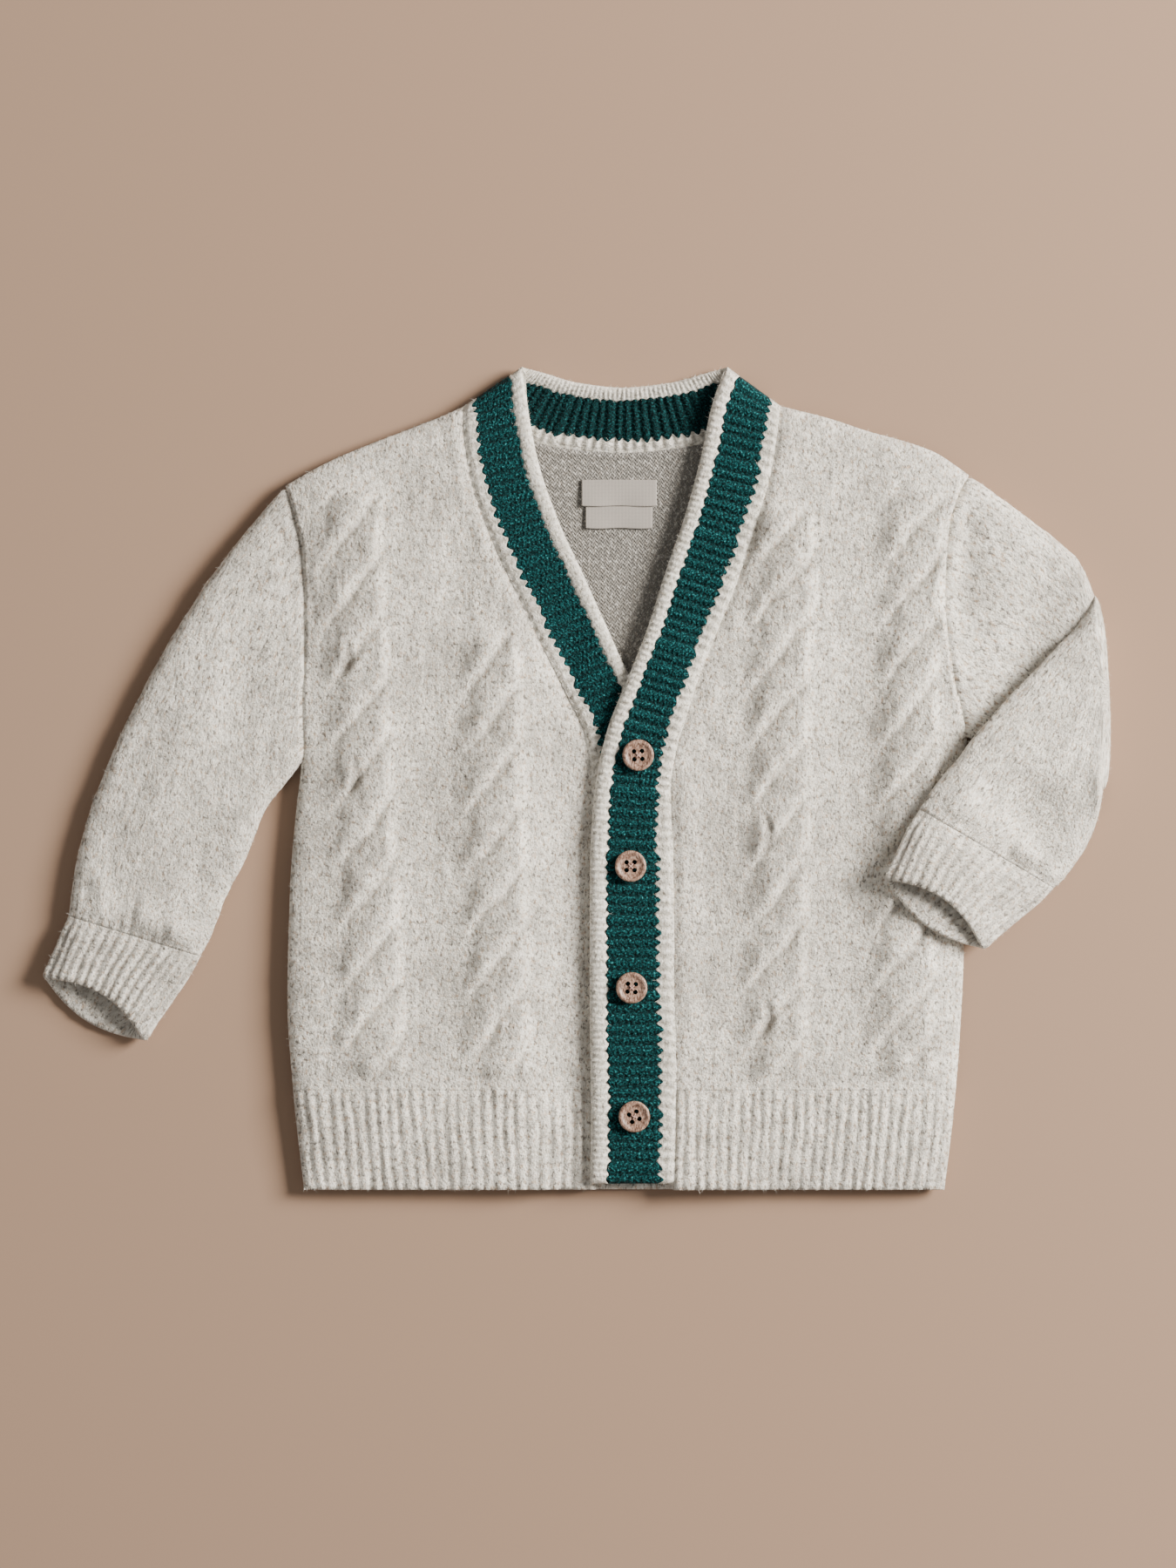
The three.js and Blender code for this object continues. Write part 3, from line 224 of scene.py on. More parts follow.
def round_edge(depth, width):
    """Cosine and sine of the angle round an elliptical edge of that width."""
    cos = 1 - np.clip(depth / width, 0, 1)
    return cos, np.sqrt(np.clip(1 - cos * cos, 0, 1))


# Soft troughs and ridges where the cloth has settled, each along a line with a width and a depth
FOLD_REACH = 0.42  # share of its length, from the middle, at which a fold fades
FOLDS = np.array(
    [
        # x0, y0, x1, y1, width, depth
        (-144, 66, -150, 18, 8, -1.3),
        (-156, 44, -192, -34, 8, 1.6),
        (-158, -8, -166, -50, 7, -1.2),
        (-210, -40, -182, -46, 6, -1.8),
        (127, 114, 118, 72, 4, 1.7),
        (118, 80, 127, 30, 4, 1.7),
        (131, 106, 127, 60, 5, -1.6),
        (-131, 104, -124, 62, 6, -1.1),
        (-121, 100, -116, 40, 6, 0.7),
        (149, 96, 142, 58, 8, 0.8),
        (167, 78, 141, 36, 9, -1.6),
        (158, 4, 146, -20, 9, -1),
        (-78, 70, -76, -95, 11, -0.8),
        (-66, 98, -64, 58, 6, -1.2),
        (93, 66, 92, -14, 8, -1),
        (83, 80, 84, -95, 10, -0.8),
    ],
    dtype=float,
)


def fold_height(x, y):
    """The sum of the folds. Each is a bell across its line, and a flatter one along it."""
    total = np.zeros(np.broadcast(x, y).shape)
    for x0, y0, x1, y1, width, depth in FOLDS:
        ux, uy = x1 - x0, y1 - y0
        long = np.hypot(ux, uy)
        t = ((x - x0) * ux + (y - y0) * uy) / long**2
        off = ((x - x0) * uy - (y - y0) * ux) / long
        total += depth * bell(t - 0.5, FOLD_REACH, 4) * bell(off, width)
    return total


NOISE_SIZE = 256


def lattice_noise(x, y, seed):
    """Smooth noise from -1 to 1: random values on whole numbers, eased between them."""
    table = np.random.default_rng(seed).uniform(-1, 1, (NOISE_SIZE, NOISE_SIZE))
    ix, iy = np.floor(x).astype(int), np.floor(y).astype(int)
    left, right = ix % NOISE_SIZE, (ix + 1) % NOISE_SIZE
    low, high = iy % NOISE_SIZE, (iy + 1) % NOISE_SIZE
    tx, ty = smooth(x - ix), smooth(y - iy)
    below = mix(table[left, low], table[right, low], tx)
    above = mix(table[left, high], table[right, high], tx)
    return mix(below, above, ty)


OVERLAP_X = 2  # middle of the two bands where they overlap
OVERLAP_HALF = 25
OVERLAP_EDGE = 8
OVERLAP_RISE = 0.8
OVERLAP_TOP_Y = 48
OVERLAP_FADE = 22
HEM_DROP = 1.9  # the rib draws the body in, so that it lies lower at the hem
HEM_DROP_RUN = 40
UNDER_DIP = 3.9
UNDER_DIP_FROM_X = -46
UNDER_DIP_RUN = 30


def front_rise(x, y):
    """The front's height above its seams: its rise, less a drop that eases in towards the hem, and more
    where the bands overlap, and the folds."""
    from_overlap = np.abs(x - OVERLAP_X)
    at_hem = 1 - smooth((y - HEM_Y) / HEM_DROP_RUN)
    beside = smooth((from_overlap - OVERLAP_HALF) / HEM_DROP_RUN)
    below_v = 1 - smooth((y - OVERLAP_TOP_Y) / OVERLAP_FADE)
    overlap = smooth((OVERLAP_HALF - from_overlap) / OVERLAP_EDGE) * below_v
    return FRONT_RISE - HEM_DROP * at_hem * beside + OVERLAP_RISE * overlap + fold_height(x, y)


def under_dip(x, y):
    """The right front dips under the left band, and comes up again beside the neck's V."""
    towards_band = smooth((x - UNDER_DIP_FROM_X) / UNDER_DIP_RUN)
    return UNDER_DIP * towards_band * (1 - smooth((y - OVERLAP_TOP_Y) / UNDER_DIP_RUN))


def front_layers(x, y, dip, relief, sink):
    """The outer and inner faces of the front's wall over a plan. relief stands out of the outer face,
    and sink lowers both, as a seam does."""
    depth, gx, gy = from_edge(x, y)
    cos, sin = round_edge(depth, FRONT_ROUND)
    level = SEAM_Z + (front_rise(x, y) - dip) * sin - sink
    outer = np.stack([x, y, level + relief * sin], -1)
    inner = np.stack([x + WALL * cos * gx, y + WALL * cos * gy, level - WALL * sin], -1)
    return outer, inner


# A cloth piece is a closed wall: a fine outer grid, a coarser inner one, and the rim between them.
MM = 0.001


def grid_quads(index):
    """Quads over a grid of vertex numbers, right-handed for columns along u and rows along v."""
    a, b, c, d = index[:-1, :-1], index[:-1, 1:], index[1:, 1:], index[1:, :-1]
    return np.stack([a, b, c, d], -1).reshape(-1, 4)


def rim_triangles(outer, inner, places):
    """Triangles between a fine line and a coarser one, whose points stand at the given places. A coarse
    step's two ends fan out to the fine points on each side of its middle."""
    found = []
    for i, (start, end) in enumerate(zip(places[:-1], places[1:])):
        middle = -(-(start + end) // 2)
        found += [(outer[j], inner[i], outer[j + 1]) for j in range(start, middle)]
        found += [(outer[j], inner[i + 1], outer[j + 1]) for j in range(middle, end)]
        found.append((inner[i], inner[i + 1], outer[middle]))
    return found


def wall_faces(shape, keep_u, keep_v, ring):
    """Quads and triangles that close a wall. A ring is closed along u as well."""
    rows, columns = shape
    keep_u, keep_v = list(keep_u), list(keep_v)
    out = np.arange(rows * columns).reshape(rows, columns)
    inn = rows * columns + np.arange(len(keep_v) * len(keep_u)).reshape(len(keep_v), len(keep_u))
    if ring:
        out = np.hstack([out, out[:, :1]])
        inn = np.hstack([inn, inn[:, :1]])
        keep_u = keep_u + [columns]
    last_u, last_v = keep_u[-1], keep_v[-1]
    quads = np.vstack([grid_quads(out), grid_quads(inn)[:, ::-1]])
    rims = rim_triangles(out[0], inn[0], keep_u)
    rims += rim_triangles(out[-1][::-1], inn[-1][::-1], [last_u - k for k in keep_u][::-1])
    if not ring:
        rims += rim_triangles(out[:, -1], inn[:, -1], keep_v)
        rims += rim_triangles(out[::-1, 0], inn[::-1, 0], [last_v - k for k in keep_v][::-1])
    return quads, np.array(rims)


def volume_of(points, quads, triangles):
    """Six times the volume that the faces hold, less than nought if they face inwards."""
    split = np.vstack([quads[:, [0, 1, 2]], quads[:, [0, 2, 3]], triangles])
    a, b, c = (points[split[:, i]] for i in range(3))
    return np.einsum("ij,ij->", a, np.cross(b, c))


def make_mesh(name, points, quads, triangles, uv=None):
    """A mesh object from points in millimetres, quads, triangles, and a knitting place for each point."""
    if volume_of(points, quads, triangles) < 0:
        quads, triangles = quads[:, ::-1], triangles[:, ::-1]
    mesh = bpy.data.meshes.new(name)
    mesh.vertices.add(len(points))
    mesh.vertices.foreach_set("co", (points * MM).astype(np.float32).ravel())
    corners = np.concatenate([quads.ravel(), triangles.ravel()]).astype(np.int32)
    starts = np.concatenate([np.arange(len(quads)) * 4, quads.size + np.arange(len(triangles)) * 3])
    mesh.loops.add(len(corners))
    mesh.loops.foreach_set("vertex_index", corners)
    mesh.polygons.add(len(starts))
    mesh.polygons.foreach_set("loop_start", starts.astype(np.int32))
    # The rim stays flat, so that two walls that meet are shaded as one surface.
    mesh.polygons.foreach_set("use_smooth", np.arange(len(starts)) < len(quads))
    if uv is not None:
        layer = mesh.uv_layers.new(name="knit")
        layer.data.foreach_set("uv", uv[corners].astype(np.float32).ravel())
    mesh.update(calc_edges=True)
    mesh.validate()
    piece = bpy.data.objects.new(name, mesh)
    bpy.context.scene.collection.objects.link(piece)
    return piece


outer_grids = {}


def make_wall(name, outer, inner, keep_u, keep_v, uv, ring=False, painted_shade=None, inner_purl_and_shade=None):
    """A closed wall from its outer and inner grids; the inner one is thinned to the kept places. The last
    two arguments are painted shade for the wool's colour, on the outer face and on the inner one: darker
    between ribs and in creases, where shade would fall."""
    thin = np.ix_(list(keep_v), list(keep_u))
    quads, rims = wall_faces(outer.shape[:2], keep_u, keep_v, ring)
    points = np.vstack([outer.reshape(-1, 3), inner[thin].reshape(-1, 3)])
    places = np.vstack([uv.reshape(-1, 2), uv[thin].reshape(-1, 2)])
    outer_grids[name] = outer
    piece = make_mesh(name, points, quads, rims, places)
    if painted_shade is not None:
        inside = painted_shade if inner_purl_and_shade is None else inner_purl_and_shade
        values = np.concatenate([painted_shade.ravel(), inside[thin].ravel()]).astype(np.float32)
        piece.data.attributes.new("painted_shade", "FLOAT", "POINT").data.foreach_set("value", values)
    return piece


def kept(count, every, ends=0):
    """Every few places of a list, and all of the first and last ones."""
    return sorted({i for i in range(count) if i <= ends or i >= count - 1 - ends or i % every == 0})


def eased(width, count):
    """Places from 0 to a width, close together at the start, as round an edge."""
    return width * (1 - np.cos(np.linspace(0, np.pi / 2, count)))


# Brushed wool: lambswool and polyamide, carded and brushed after knitting. It is an oatmeal marl, with
# grey, beige and rust fibres in every stitch. The nap hides the stitches, so the eye sees soft, matt
# streaks along the wales.
WOOL_CREAM = "#eee8db"
WOOL_GREY = "#78726a"
WOOL_BEIGE = "#c9a98a"
WOOL_LIGHT = "#f8f4ea"
WOOL_STREAKS = (0.85, 0.5, 1)  # streaks 1.2 mm across the wales and 2 mm along them
WOOL_FLECKS = (0.8, 0.45, 1)  # beige and rust flecks, 1 to 2 mm long
# Clouds of greyer fibre 15 to 40 mm across, and patches of 4 to 8 mm in them, each with its strength
WOOL_CLOUDS = ((36.0, 0.42), (210.0, 0.5))
WOOL_TUFTS = 1100.0  # the nap's own tufts, under a millimetre
PURL_ARCS = 0.15  # arcs 2.1 mm wide
PURL_ROWS = 0.21  # rows 1.5 mm apart


def linear(colour):
    """An sRGB hex value as linear RGBA."""
    srgb = np.array([int(colour[i : i + 2], 16) for i in (1, 3, 5)]) / 255
    value = np.where(srgb <= 0.04045, srgb / 12.92, ((srgb + 0.055) / 1.055) ** 2.4)
    return (*value.tolist(), 1.0)


def add(tree, kind, inputs=None, **settings):
    """Adds a node with its settings. An input is a value, or another node's output to link."""
    made = tree.nodes.new(kind)
    for name, value in settings.items():
        setattr(made, name, value)
    for key, value in (inputs or {}).items():
        if isinstance(value, bpy.types.NodeSocket):
            tree.links.new(value, made.inputs[key])
        else:
            made.inputs[key].default_value = value
    return made


def empty_material(name):
    """A material with an empty node tree."""
    material = bpy.data.materials.new(name)
    material.use_nodes = True
    material.node_tree.nodes.clear()
    return material, material.node_tree


def finish_surface(material, inputs):
    """Ends a material in one Principled surface with these inputs."""
    surface = add(material.node_tree, "ShaderNodeBsdfPrincipled", inputs)
    add(material.node_tree, "ShaderNodeOutputMaterial", {"Surface": surface.outputs["BSDF"]})
    return material


def set_ramp(ramp, stops):
    """Sets a colour ramp to stops of place and colour."""
    while len(ramp.color_ramp.elements) < len(stops):
        ramp.color_ramp.elements.new(0.5)
    for element, (place, colour) in zip(ramp.color_ramp.elements, stops):
        element.position = place
        element.color = linear(colour)
    return ramp.outputs["Color"]


def wool(name, base, grey, beige, light, marl, purl=0.0):
    """Brushed marled wool. Streaks run along the wales, in the piece's knitting places, and clouds of
    darker and lighter fibre lie over them; marl is how much of the coloured fibre shows, and purl how
    far the purl side's rows of short arcs stand out."""
    material, tree = empty_material(name)
    place = add(tree, "ShaderNodeUVMap", uv_map="knit").outputs["UV"]
    along = add(tree, "ShaderNodeMapping", {"Vector": place, "Scale": WOOL_STREAKS}).outputs["Vector"]
    streaks = add(
        tree, "ShaderNodeTexNoise", {"Vector": along, "Scale": 1.0, "Detail": 5.0, "Roughness": 0.72}
    ).outputs["Fac"]
    colour = set_ramp(
        add(tree, "ShaderNodeValToRGB", {"Fac": streaks}),
        [(0.39, grey), (0.485, base), (0.52, base), (0.58, light)],
    )
    shifted = add(
        tree, "ShaderNodeMapping", {"Vector": place, "Scale": WOOL_FLECKS, "Location": (37, 11, 5)}
    ).outputs["Vector"]
    flecks = add(
        tree, "ShaderNodeTexNoise", {"Vector": shifted, "Scale": 1.0, "Detail": 3.0, "Roughness": 0.7}
    ).outputs["Fac"]
    share = add(
        tree, "ShaderNodeMapRange", {"Value": flecks, "From Min": 0.53, "From Max": 0.66, "To Max": marl}
    ).outputs["Result"]
    layers = [(share, beige)]
    spot = add(tree, "ShaderNodeTexCoord").outputs["Object"]
    for scale, strength in WOOL_CLOUDS:
        clouds = add(
            tree, "ShaderNodeTexNoise", {"Vector": spot, "Scale": scale, "Detail": 3.0, "Roughness": 0.6}
        ).outputs["Fac"]
        greyer = {"Value": clouds, "From Min": 0.4, "From Max": 0.66, "To Max": strength * marl}
        layers.append((add(tree, "ShaderNodeMapRange", greyer).outputs["Result"], grey))
    # Painted shade: between ribs, in a cable's creases and in its slits, the colour is mixed towards the
    # grey, where shade would fall.
    painted_shade = add(tree, "ShaderNodeAttribute", attribute_name="painted_shade").outputs["Fac"]
    painted_darkening = add(tree, "ShaderNodeMapRange", {"Value": painted_shade, "From Min": 0.2, "To Max": 0.62})
    layers.append((painted_darkening.outputs["Result"], grey))
    for share, tint in layers:
        mixed = {"Factor": share, "A": colour, "B": linear(tint)}
        colour = add(tree, "ShaderNodeMix", mixed, data_type="RGBA").outputs["Result"]
    tufts = add(
        tree, "ShaderNodeTexNoise", {"Vector": spot, "Scale": WOOL_TUFTS, "Detail": 2.0, "Roughness": 0.6}
    ).outputs["Fac"]
    height = add(tree, "ShaderNodeMath", {0: streaks, 1: tufts}, operation="ADD").outputs["Value"]
    if purl:
        arcs = add(tree, "ShaderNodeTexWave", {"Vector": place, "Scale": PURL_ARCS}, bands_direction="X")
        shift = add(tree, "ShaderNodeCombineXYZ", {"Y": arcs.outputs["Fac"]}).outputs["Vector"]
        arched = add(tree, "ShaderNodeVectorMath", {0: place, 1: shift}, operation="ADD").outputs["Vector"]
        rows = add(tree, "ShaderNodeTexWave", {"Vector": arched, "Scale": PURL_ROWS}, bands_direction="Y")
        height = add(
            tree, "ShaderNodeMath", {0: rows.outputs["Fac"], 1: purl, 2: height}, operation="MULTIPLY_ADD"
        ).outputs["Value"]
    bump = add(tree, "ShaderNodeBump", {"Height": height, "Strength": 0.75, "Distance": 0.0009})
    return finish_surface(material, {
        "Base Color": colour,
        "Normal": bump.outputs["Normal"],
        "Roughness": 0.92,
        "Specular IOR Level": 0.2,
        "Sheen Weight": 0.25,
        "Sheen Roughness": 0.5,
    })


oatmeal_wool = wool("oatmeal_brushed_wool", WOOL_CREAM, WOOL_GREY, WOOL_BEIGE, WOOL_LIGHT, 0.75)


def dress(piece, material, nodes):
    """Gives a piece its material, slot and place on the one body, and hides the nodes it stands for."""
    piece.data.materials.append(material)
    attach(piece, "root")
    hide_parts(*nodes)
    return piece


# The cables: six stitches each, crossing every 23 mm. A strand comes up from under its neighbour, runs
# over to the other side, and tucks in again.
FINE = 0.75  # spacing of a front's grid
CABLE_RISE = 3.0  # height of a strand
CABLE_RIDGE = 0.9  # the broad swell that a cable stands on
CABLE_RIDGE_HALF = 14
CABLE_PERIOD = 23.2  # from one crossing to the next
CABLE_HALF = 11.5  # half a cable's width
STRAND_SLOPE = 1.19  # a strand climbs so many millimetres for each one across
STRAND_CREST = 0.3  # place of a strand's crest in its width, near its lower right edge
CREASE_HALF = 2.1
CREASE_DEPTH = 0.8
CABLES = dict(
    x=(-101, -51, 58, 107),
    lean=(-0.045, -0.02, 0.02, 0.02),
    start=(-8, -10.5, -8, -8),
    bottom=(-114, -114, -114, -114),
    top=(116, 62, 108, 116),
)
WALE = 2.1  # width of one column of stitches

# Where a cable's two strands stand apart, a short slit opens between them.
SLITS = dict(x=(-106.6, -103.8, 53.8, 53.8), y=(47.8, 3.7, -19.3, -89.6))
SLIT_HALF = 1.8
SLIT_DEPTH = 2.3
SLIT_REACH = 6  # half a slit's length
SLIT_SWELL = 5  # half the width of the cloth that stands up beside it


def cable_relief(x, y):
    """A cable's strands cross it as slanting ridges. Each rises steeply from the crease at its lower
    right to a crest, and falls away gently to tuck under the strand above. Creases and slits are bells
    cut into them. Also gives painted shade for the wool's colour in the creases and slits."""
    total, painted_darkening = np.zeros(x.shape), np.zeros(x.shape)
    for cx, lean, start, bottom, top in zip(*CABLES.values()):
        across = x - cx - lean * y + 0.9 * lattice_noise(x / 9, y / 10, 51)
        sway = 1.3 * lattice_noise(x / 11, y / 9, 52)
        phase = (y - start - STRAND_SLOPE * across + sway) / CABLE_PERIOD + 0.5
        place = phase - np.floor(phase)
        fall = 1 - smooth((place - STRAND_CREST) / (1 - STRAND_CREST))
        strand = (smooth(place / STRAND_CREST) * fall) ** 0.8
        crease = bell(np.minimum(place, 1 - place) * CABLE_PERIOD, CREASE_HALF)
        outline = smooth((across + CABLE_HALF + 5) / 13) * smooth((CABLE_HALF + 1.5 - across) / 5)
        ends = smooth((y - bottom) / 8) * smooth((top - y) / 8)
        ridge = CABLE_RIDGE * bell(across, CABLE_RIDGE_HALF)
        strands = CABLE_RISE * (0.2 + 0.8 * strand) - CREASE_DEPTH * crease
        total += ends * (outline * strands + ridge)
        # Painted shade in the creases, for the wool's colour
        painted_darkening += 0.7 * ends * outline * crease
    for sx, sy in zip(*SLITS.values()):
        aside = x - sx - 0.1 * (y - sy) + 0.04 * (y - sy) ** 2
        along = bell(y - sy, SLIT_REACH, 4)
        slit = bell(aside, SLIT_HALF) * along
        total += bell(aside, SLIT_SWELL) * along - SLIT_DEPTH * slit
        # Painted shade in the slit
        painted_darkening += 1.1 * slit
    return total, painted_darkening


def nap_relief(u, v, seed):
    """Uneven stitches under the nap: soft columns a wale wide, broken every few stitches."""
    columns = lattice_noise(u / WALE, v / 7, seed)
    patches = lattice_noise(u / 5, v / 6, seed + 1)
    tufts = lattice_noise(u / 1.5, v / 1.9, seed + 2)
    return 0.17 * columns + 0.25 * patches + 0.1 * tufts


def front_plan(side, seam, shoulder, shoulder_y, neck_y, share, v):
    """A front's plan: each row runs evenly from the side to the band's seam. It is level at the hem, and
    turns to lie along the shoulder at the top."""
    side_y = mix(HEM_TOP_Y, shoulder_y, v)
    level = mix(HEM_TOP_Y, neck_y, v)
    seam_y = mix(side_y, level, smooth((v - 0.3) / 0.7))
    x = mix(side(side_y), seam(seam_y), share)
    bow = shoulder(x) - mix(shoulder_y, neck_y, share)
    return x, mix(side_y, seam_y, share) + bow * smooth((v - 0.75) / 0.25)


ARMHOLE_SINK = dict(width=2.2, depth=0.9)
BAND_SINK = dict(width=3.2, depth=0.6)


def seam_sink(distance, width, depth):
    """A seam draws the cloth down beside it: deepest on the seam, gone within its width."""
    return depth * (1 - smooth(distance / width))


SEAM_TUCK = 1.2  # how far a front reaches under its band's tipping
TUCK_SINK = 0.8  # and how far it goes down there
band_seam_right = through(BAND_RIGHT["seam_y"], BAND_RIGHT["seam_x"])
band_seam_left = through(BAND_LEFT["seam_y"], BAND_LEFT["seam_x"])


def seam_right(y):
    """The right front's edge: the band's seam, and its tuck towards the garment's middle."""
    return band_seam_right(y) + SEAM_TUCK


def seam_left(y):
    """The left front's edge: the band's seam, less its tuck."""
    return band_seam_left(y) - SEAM_TUCK


FRONTS = dict(
    right=(side_right, seam_right, shoulder_right, TIP_RIGHT[1], NECK_RIGHT[1], UNDERARM_RIGHT_Y),
    left=(side_left, seam_left, shoulder_left, TIP_LEFT[1], NECK_LEFT[1], UNDERARM_LEFT_Y),
)
FRONT_WIDTH = 113
FRONT_HEIGHT = 250
HEM_WIDTH = 108


# Rib: ridges two stitches wide, in the hems and cuffs. It starts softly in the plain knitting.
RIB_PITCH = 4.2
RIB_RISE = 0.85
RIB_START_Y = HEM_TOP_Y + 3
RIB_START_RUN = 8


def rib(place):
    """Relief across ribs, one to each whole number: round ridges with narrower valleys."""
    return (0.5 - 0.5 * np.cos(2 * np.pi * place)) ** 0.7


def hem_ribs(share, y):
    """The hem's ribs over a front: the rib's relief and painted shade in its valleys, uneven along the ribs
    and fading out above them."""
    ribs = round(HEM_WIDTH / RIB_PITCH)
    place = share * ribs + 0.13 * lattice_noise(share * ribs, y / 12, 21)
    height = 1 + 0.35 * lattice_noise(share * ribs, y / 9, 22)
    start_y = RIB_START_Y + 4 * lattice_noise(place / 2.5, y / 20, 23)
    ribbed = smooth((start_y - y) / RIB_START_RUN)
    return 0.85 * RIB_RISE * ribbed * height * rib(place), 0.38 * ribbed * (1 - rib(place))


def settled(x, y):
    """Broad, low unevenness of the laid cloth."""
    return 0.6 * lattice_noise(x / 31, y / 37, 9)


def front_wall(kind, name, outer, inner, painted_shade, keep_u, keep_v):
    """A wall of a front from its two grids. Its plan gives its knitting places. The left one's columns
    are turned round, so that they run the same way as the right one's."""
    uv = outer[..., :2]
    if name == "left":
        keep_u = [outer.shape[1] - 1 - i for i in keep_u][::-1]
        outer, inner, uv, painted_shade = (grid[:, ::-1] for grid in (outer, inner, uv, painted_shade))
    return make_wall(kind + name, outer, inner, keep_u, keep_v, uv, painted_shade=painted_shade)


def front_panel(name):
    """A front from the rib to the shoulder. Cables, stitches, ribs and a puff beside the band are relief
    on a grid over its plan, which is finer where the front rounds down to its seams."""
    side, seam, shoulder, shoulder_y, neck_y, underarm_y = FRONTS[name]
    near_side = eased(FRONT_ROUND, 18)
    near_top = eased(FRONT_ROUND, 16)
    u = np.concatenate([near_side, np.arange(FRONT_ROUND + FINE, FRONT_WIDTH - 0.3, FINE), [FRONT_WIDTH]])
    v = np.concatenate([np.arange(0, FRONT_HEIGHT - FRONT_ROUND - 0.3, FINE), FRONT_HEIGHT - near_top[::-1]])
    share, row = np.meshgrid(u / FRONT_WIDTH, v / FRONT_HEIGHT)
    x, y = front_plan(side, seam, shoulder, shoulder_y, neck_y, share, row)
    dip = under_dip(x, y) if name == "right" else 0
    from_band = (1 - share) * FRONT_WIDTH - SEAM_TUCK
    from_armhole = np.where(y > underarm_y, share * FRONT_WIDTH, FRONT_WIDTH)
    sink = seam_sink(from_band, **BAND_SINK) + seam_sink(from_armhole, **ARMHOLE_SINK)
    sink = sink + TUCK_SINK * smooth(-from_band / SEAM_TUCK)
    calm = smooth(from_band / 4)
    puff = 0.5 * bell(from_band - 7, 4) * smooth((y + 110) / 20)
    cables, crease_shade = cable_relief(x, y)
    ribs, rib_shade = hem_ribs(share, y)
    relief = calm * (cables + nap_relief(x, y, 3)) + settled(x, y) + puff + ribs
    outer, inner = front_layers(x, y, dip, relief, sink)
    # Painted shade for the wool's colour: in the cables' creases and slits, and between the hem's ribs
    painted_shade = calm * crease_shade + rib_shade
    piece = front_wall("panel_", name, outer, inner, painted_shade, kept(len(u), 7, 8), kept(len(v), 8, 6))
    dress(piece, oatmeal_wool, ["front_" + name])


for name in FRONTS:
    front_panel(name)

# Hem rib
# Ribs two stitches wide, knitted on below the fronts and the back. The rib holds the body in a little,
# and its lower edge is soft and round.

LIP_WIDTH = 2.2
HEM_HEIGHT = HEM_TOP_Y - HEM_Y
HEM_TUCK = np.array([0.7, 1.6])  # its last two rows reach in under the front,
HEM_TUCK_SINK = (0.03, 0.2)  # and lie so much lower
HEM_FINE = 0.5


def lip(distance):
    """How far each face of a wall draws in beside a free edge, so that the edge is round."""
    t = np.clip(distance / LIP_WIDTH, 0, 1)
    return 0.48 * WALL * (1 - np.sqrt(1 - (1 - t) ** 2))


def wall_lip(outer, inner, amount):
    """Draws both faces of a lying wall together."""
    outer[..., 2] -= amount
    inner[..., 2] += amount


def hem_panel(name):
    """A front's hem: ribs on a grid between the side and the band's seam, with a rounded lower edge."""
    side, seam = FRONTS[name][:2]
    across = np.arange(FRONT_ROUND + HEM_FINE, HEM_WIDTH - 0.2, HEM_FINE)
    u = np.concatenate([eased(FRONT_ROUND, 34), across, [HEM_WIDTH]])
    above_lip = np.linspace(LIP_WIDTH + 1, HEM_HEIGHT, 36)
    v = np.concatenate([eased(LIP_WIDTH, 8), above_lip, HEM_HEIGHT + HEM_TUCK])
    share, up = np.meshgrid(u / HEM_WIDTH, v)
    y = HEM_Y + up
    x = mix(side(y), seam(y), share)
    from_band = (1 - share) * HEM_WIDTH - SEAM_TUCK
    # The ribs, and painted shade between them
    ribs, painted_shade = hem_ribs(share, y)
    relief = smooth(from_band / 4) * nap_relief(x, y, 3) + ribs + settled(x, y)
    dip = under_dip(x, y) if name == "right" else 0
    sink = seam_sink(from_band, **BAND_SINK) + TUCK_SINK * smooth(-from_band / SEAM_TUCK)
    sink = sink + np.interp(up - HEM_HEIGHT, [0, *HEM_TUCK], [0, *HEM_TUCK_SINK])
    outer, inner = front_layers(x, y, dip, relief, sink)
    wall_lip(outer, inner, lip(up))
    piece = front_wall("rib_", name, outer, inner, painted_shade, kept(len(u), 12, 3), kept(len(v), 6, 2))
    dress(piece, oatmeal_wool, ["hem_" + name])


for name in FRONTS:
    hem_panel(name)

# Back
# One plain panel. Laid out, only its inside shows, through the neck: the purl side, greyer than the
# outside and painted darker still for the shade inside the neck, with a linked seam below the neck band.

BACK_ROUND_STEPS = 12
BACK_NEAR = 66  # width beside each side seam that the sleeves and fronts cover, with a coarser grid
BACK_FINE = 0.9
HEM_BACK_WIDTH = 250
HEM_BACK_FINE = 0.7
SEAM_RIDGE = 0.9  # the looped stitches that join the neck band, on the purl side
# The purl side's grey, painted darker for the shade inside the neck
WOOL_INSIDE_SHADED = "#7f7b74"
BAND_NECK = dict(
    seam_x=(NECK_RIGHT[0], -49, -29, -2.5, 24, 44, NECK_LEFT[0]),
    seam_y=(NECK_RIGHT[1], 136, 129, 126.6, 129, 136, NECK_LEFT[1]),
    free_x=(COLLAR_RIGHT[0], -33, -20, -2.2, 16, 30, COLLAR_LEFT[0]),
    free_y=(COLLAR_RIGHT[1], 157.4, 153.6, 151.6, 153.4, 157.2, COLLAR_LEFT[1]),
)


def back_layers(x, y, relief=0):
    """The back's underside, which lies on the surface, and its inside, which faces up."""
    depth, gx, gy = from_edge(x, y)
    cos, sin = round_edge(depth, BACK_ROUND)
    level = SEAM_Z * (1 - sin)
    under = np.stack([x, y, level], -1)
    inside = np.stack([x + WALL * cos * gx, y + WALL * cos * gy, level + (WALL + relief) * sin], -1)
    return under, inside


neck_seam = through(BAND_NECK["seam_x"], BAND_NECK["seam_y"])


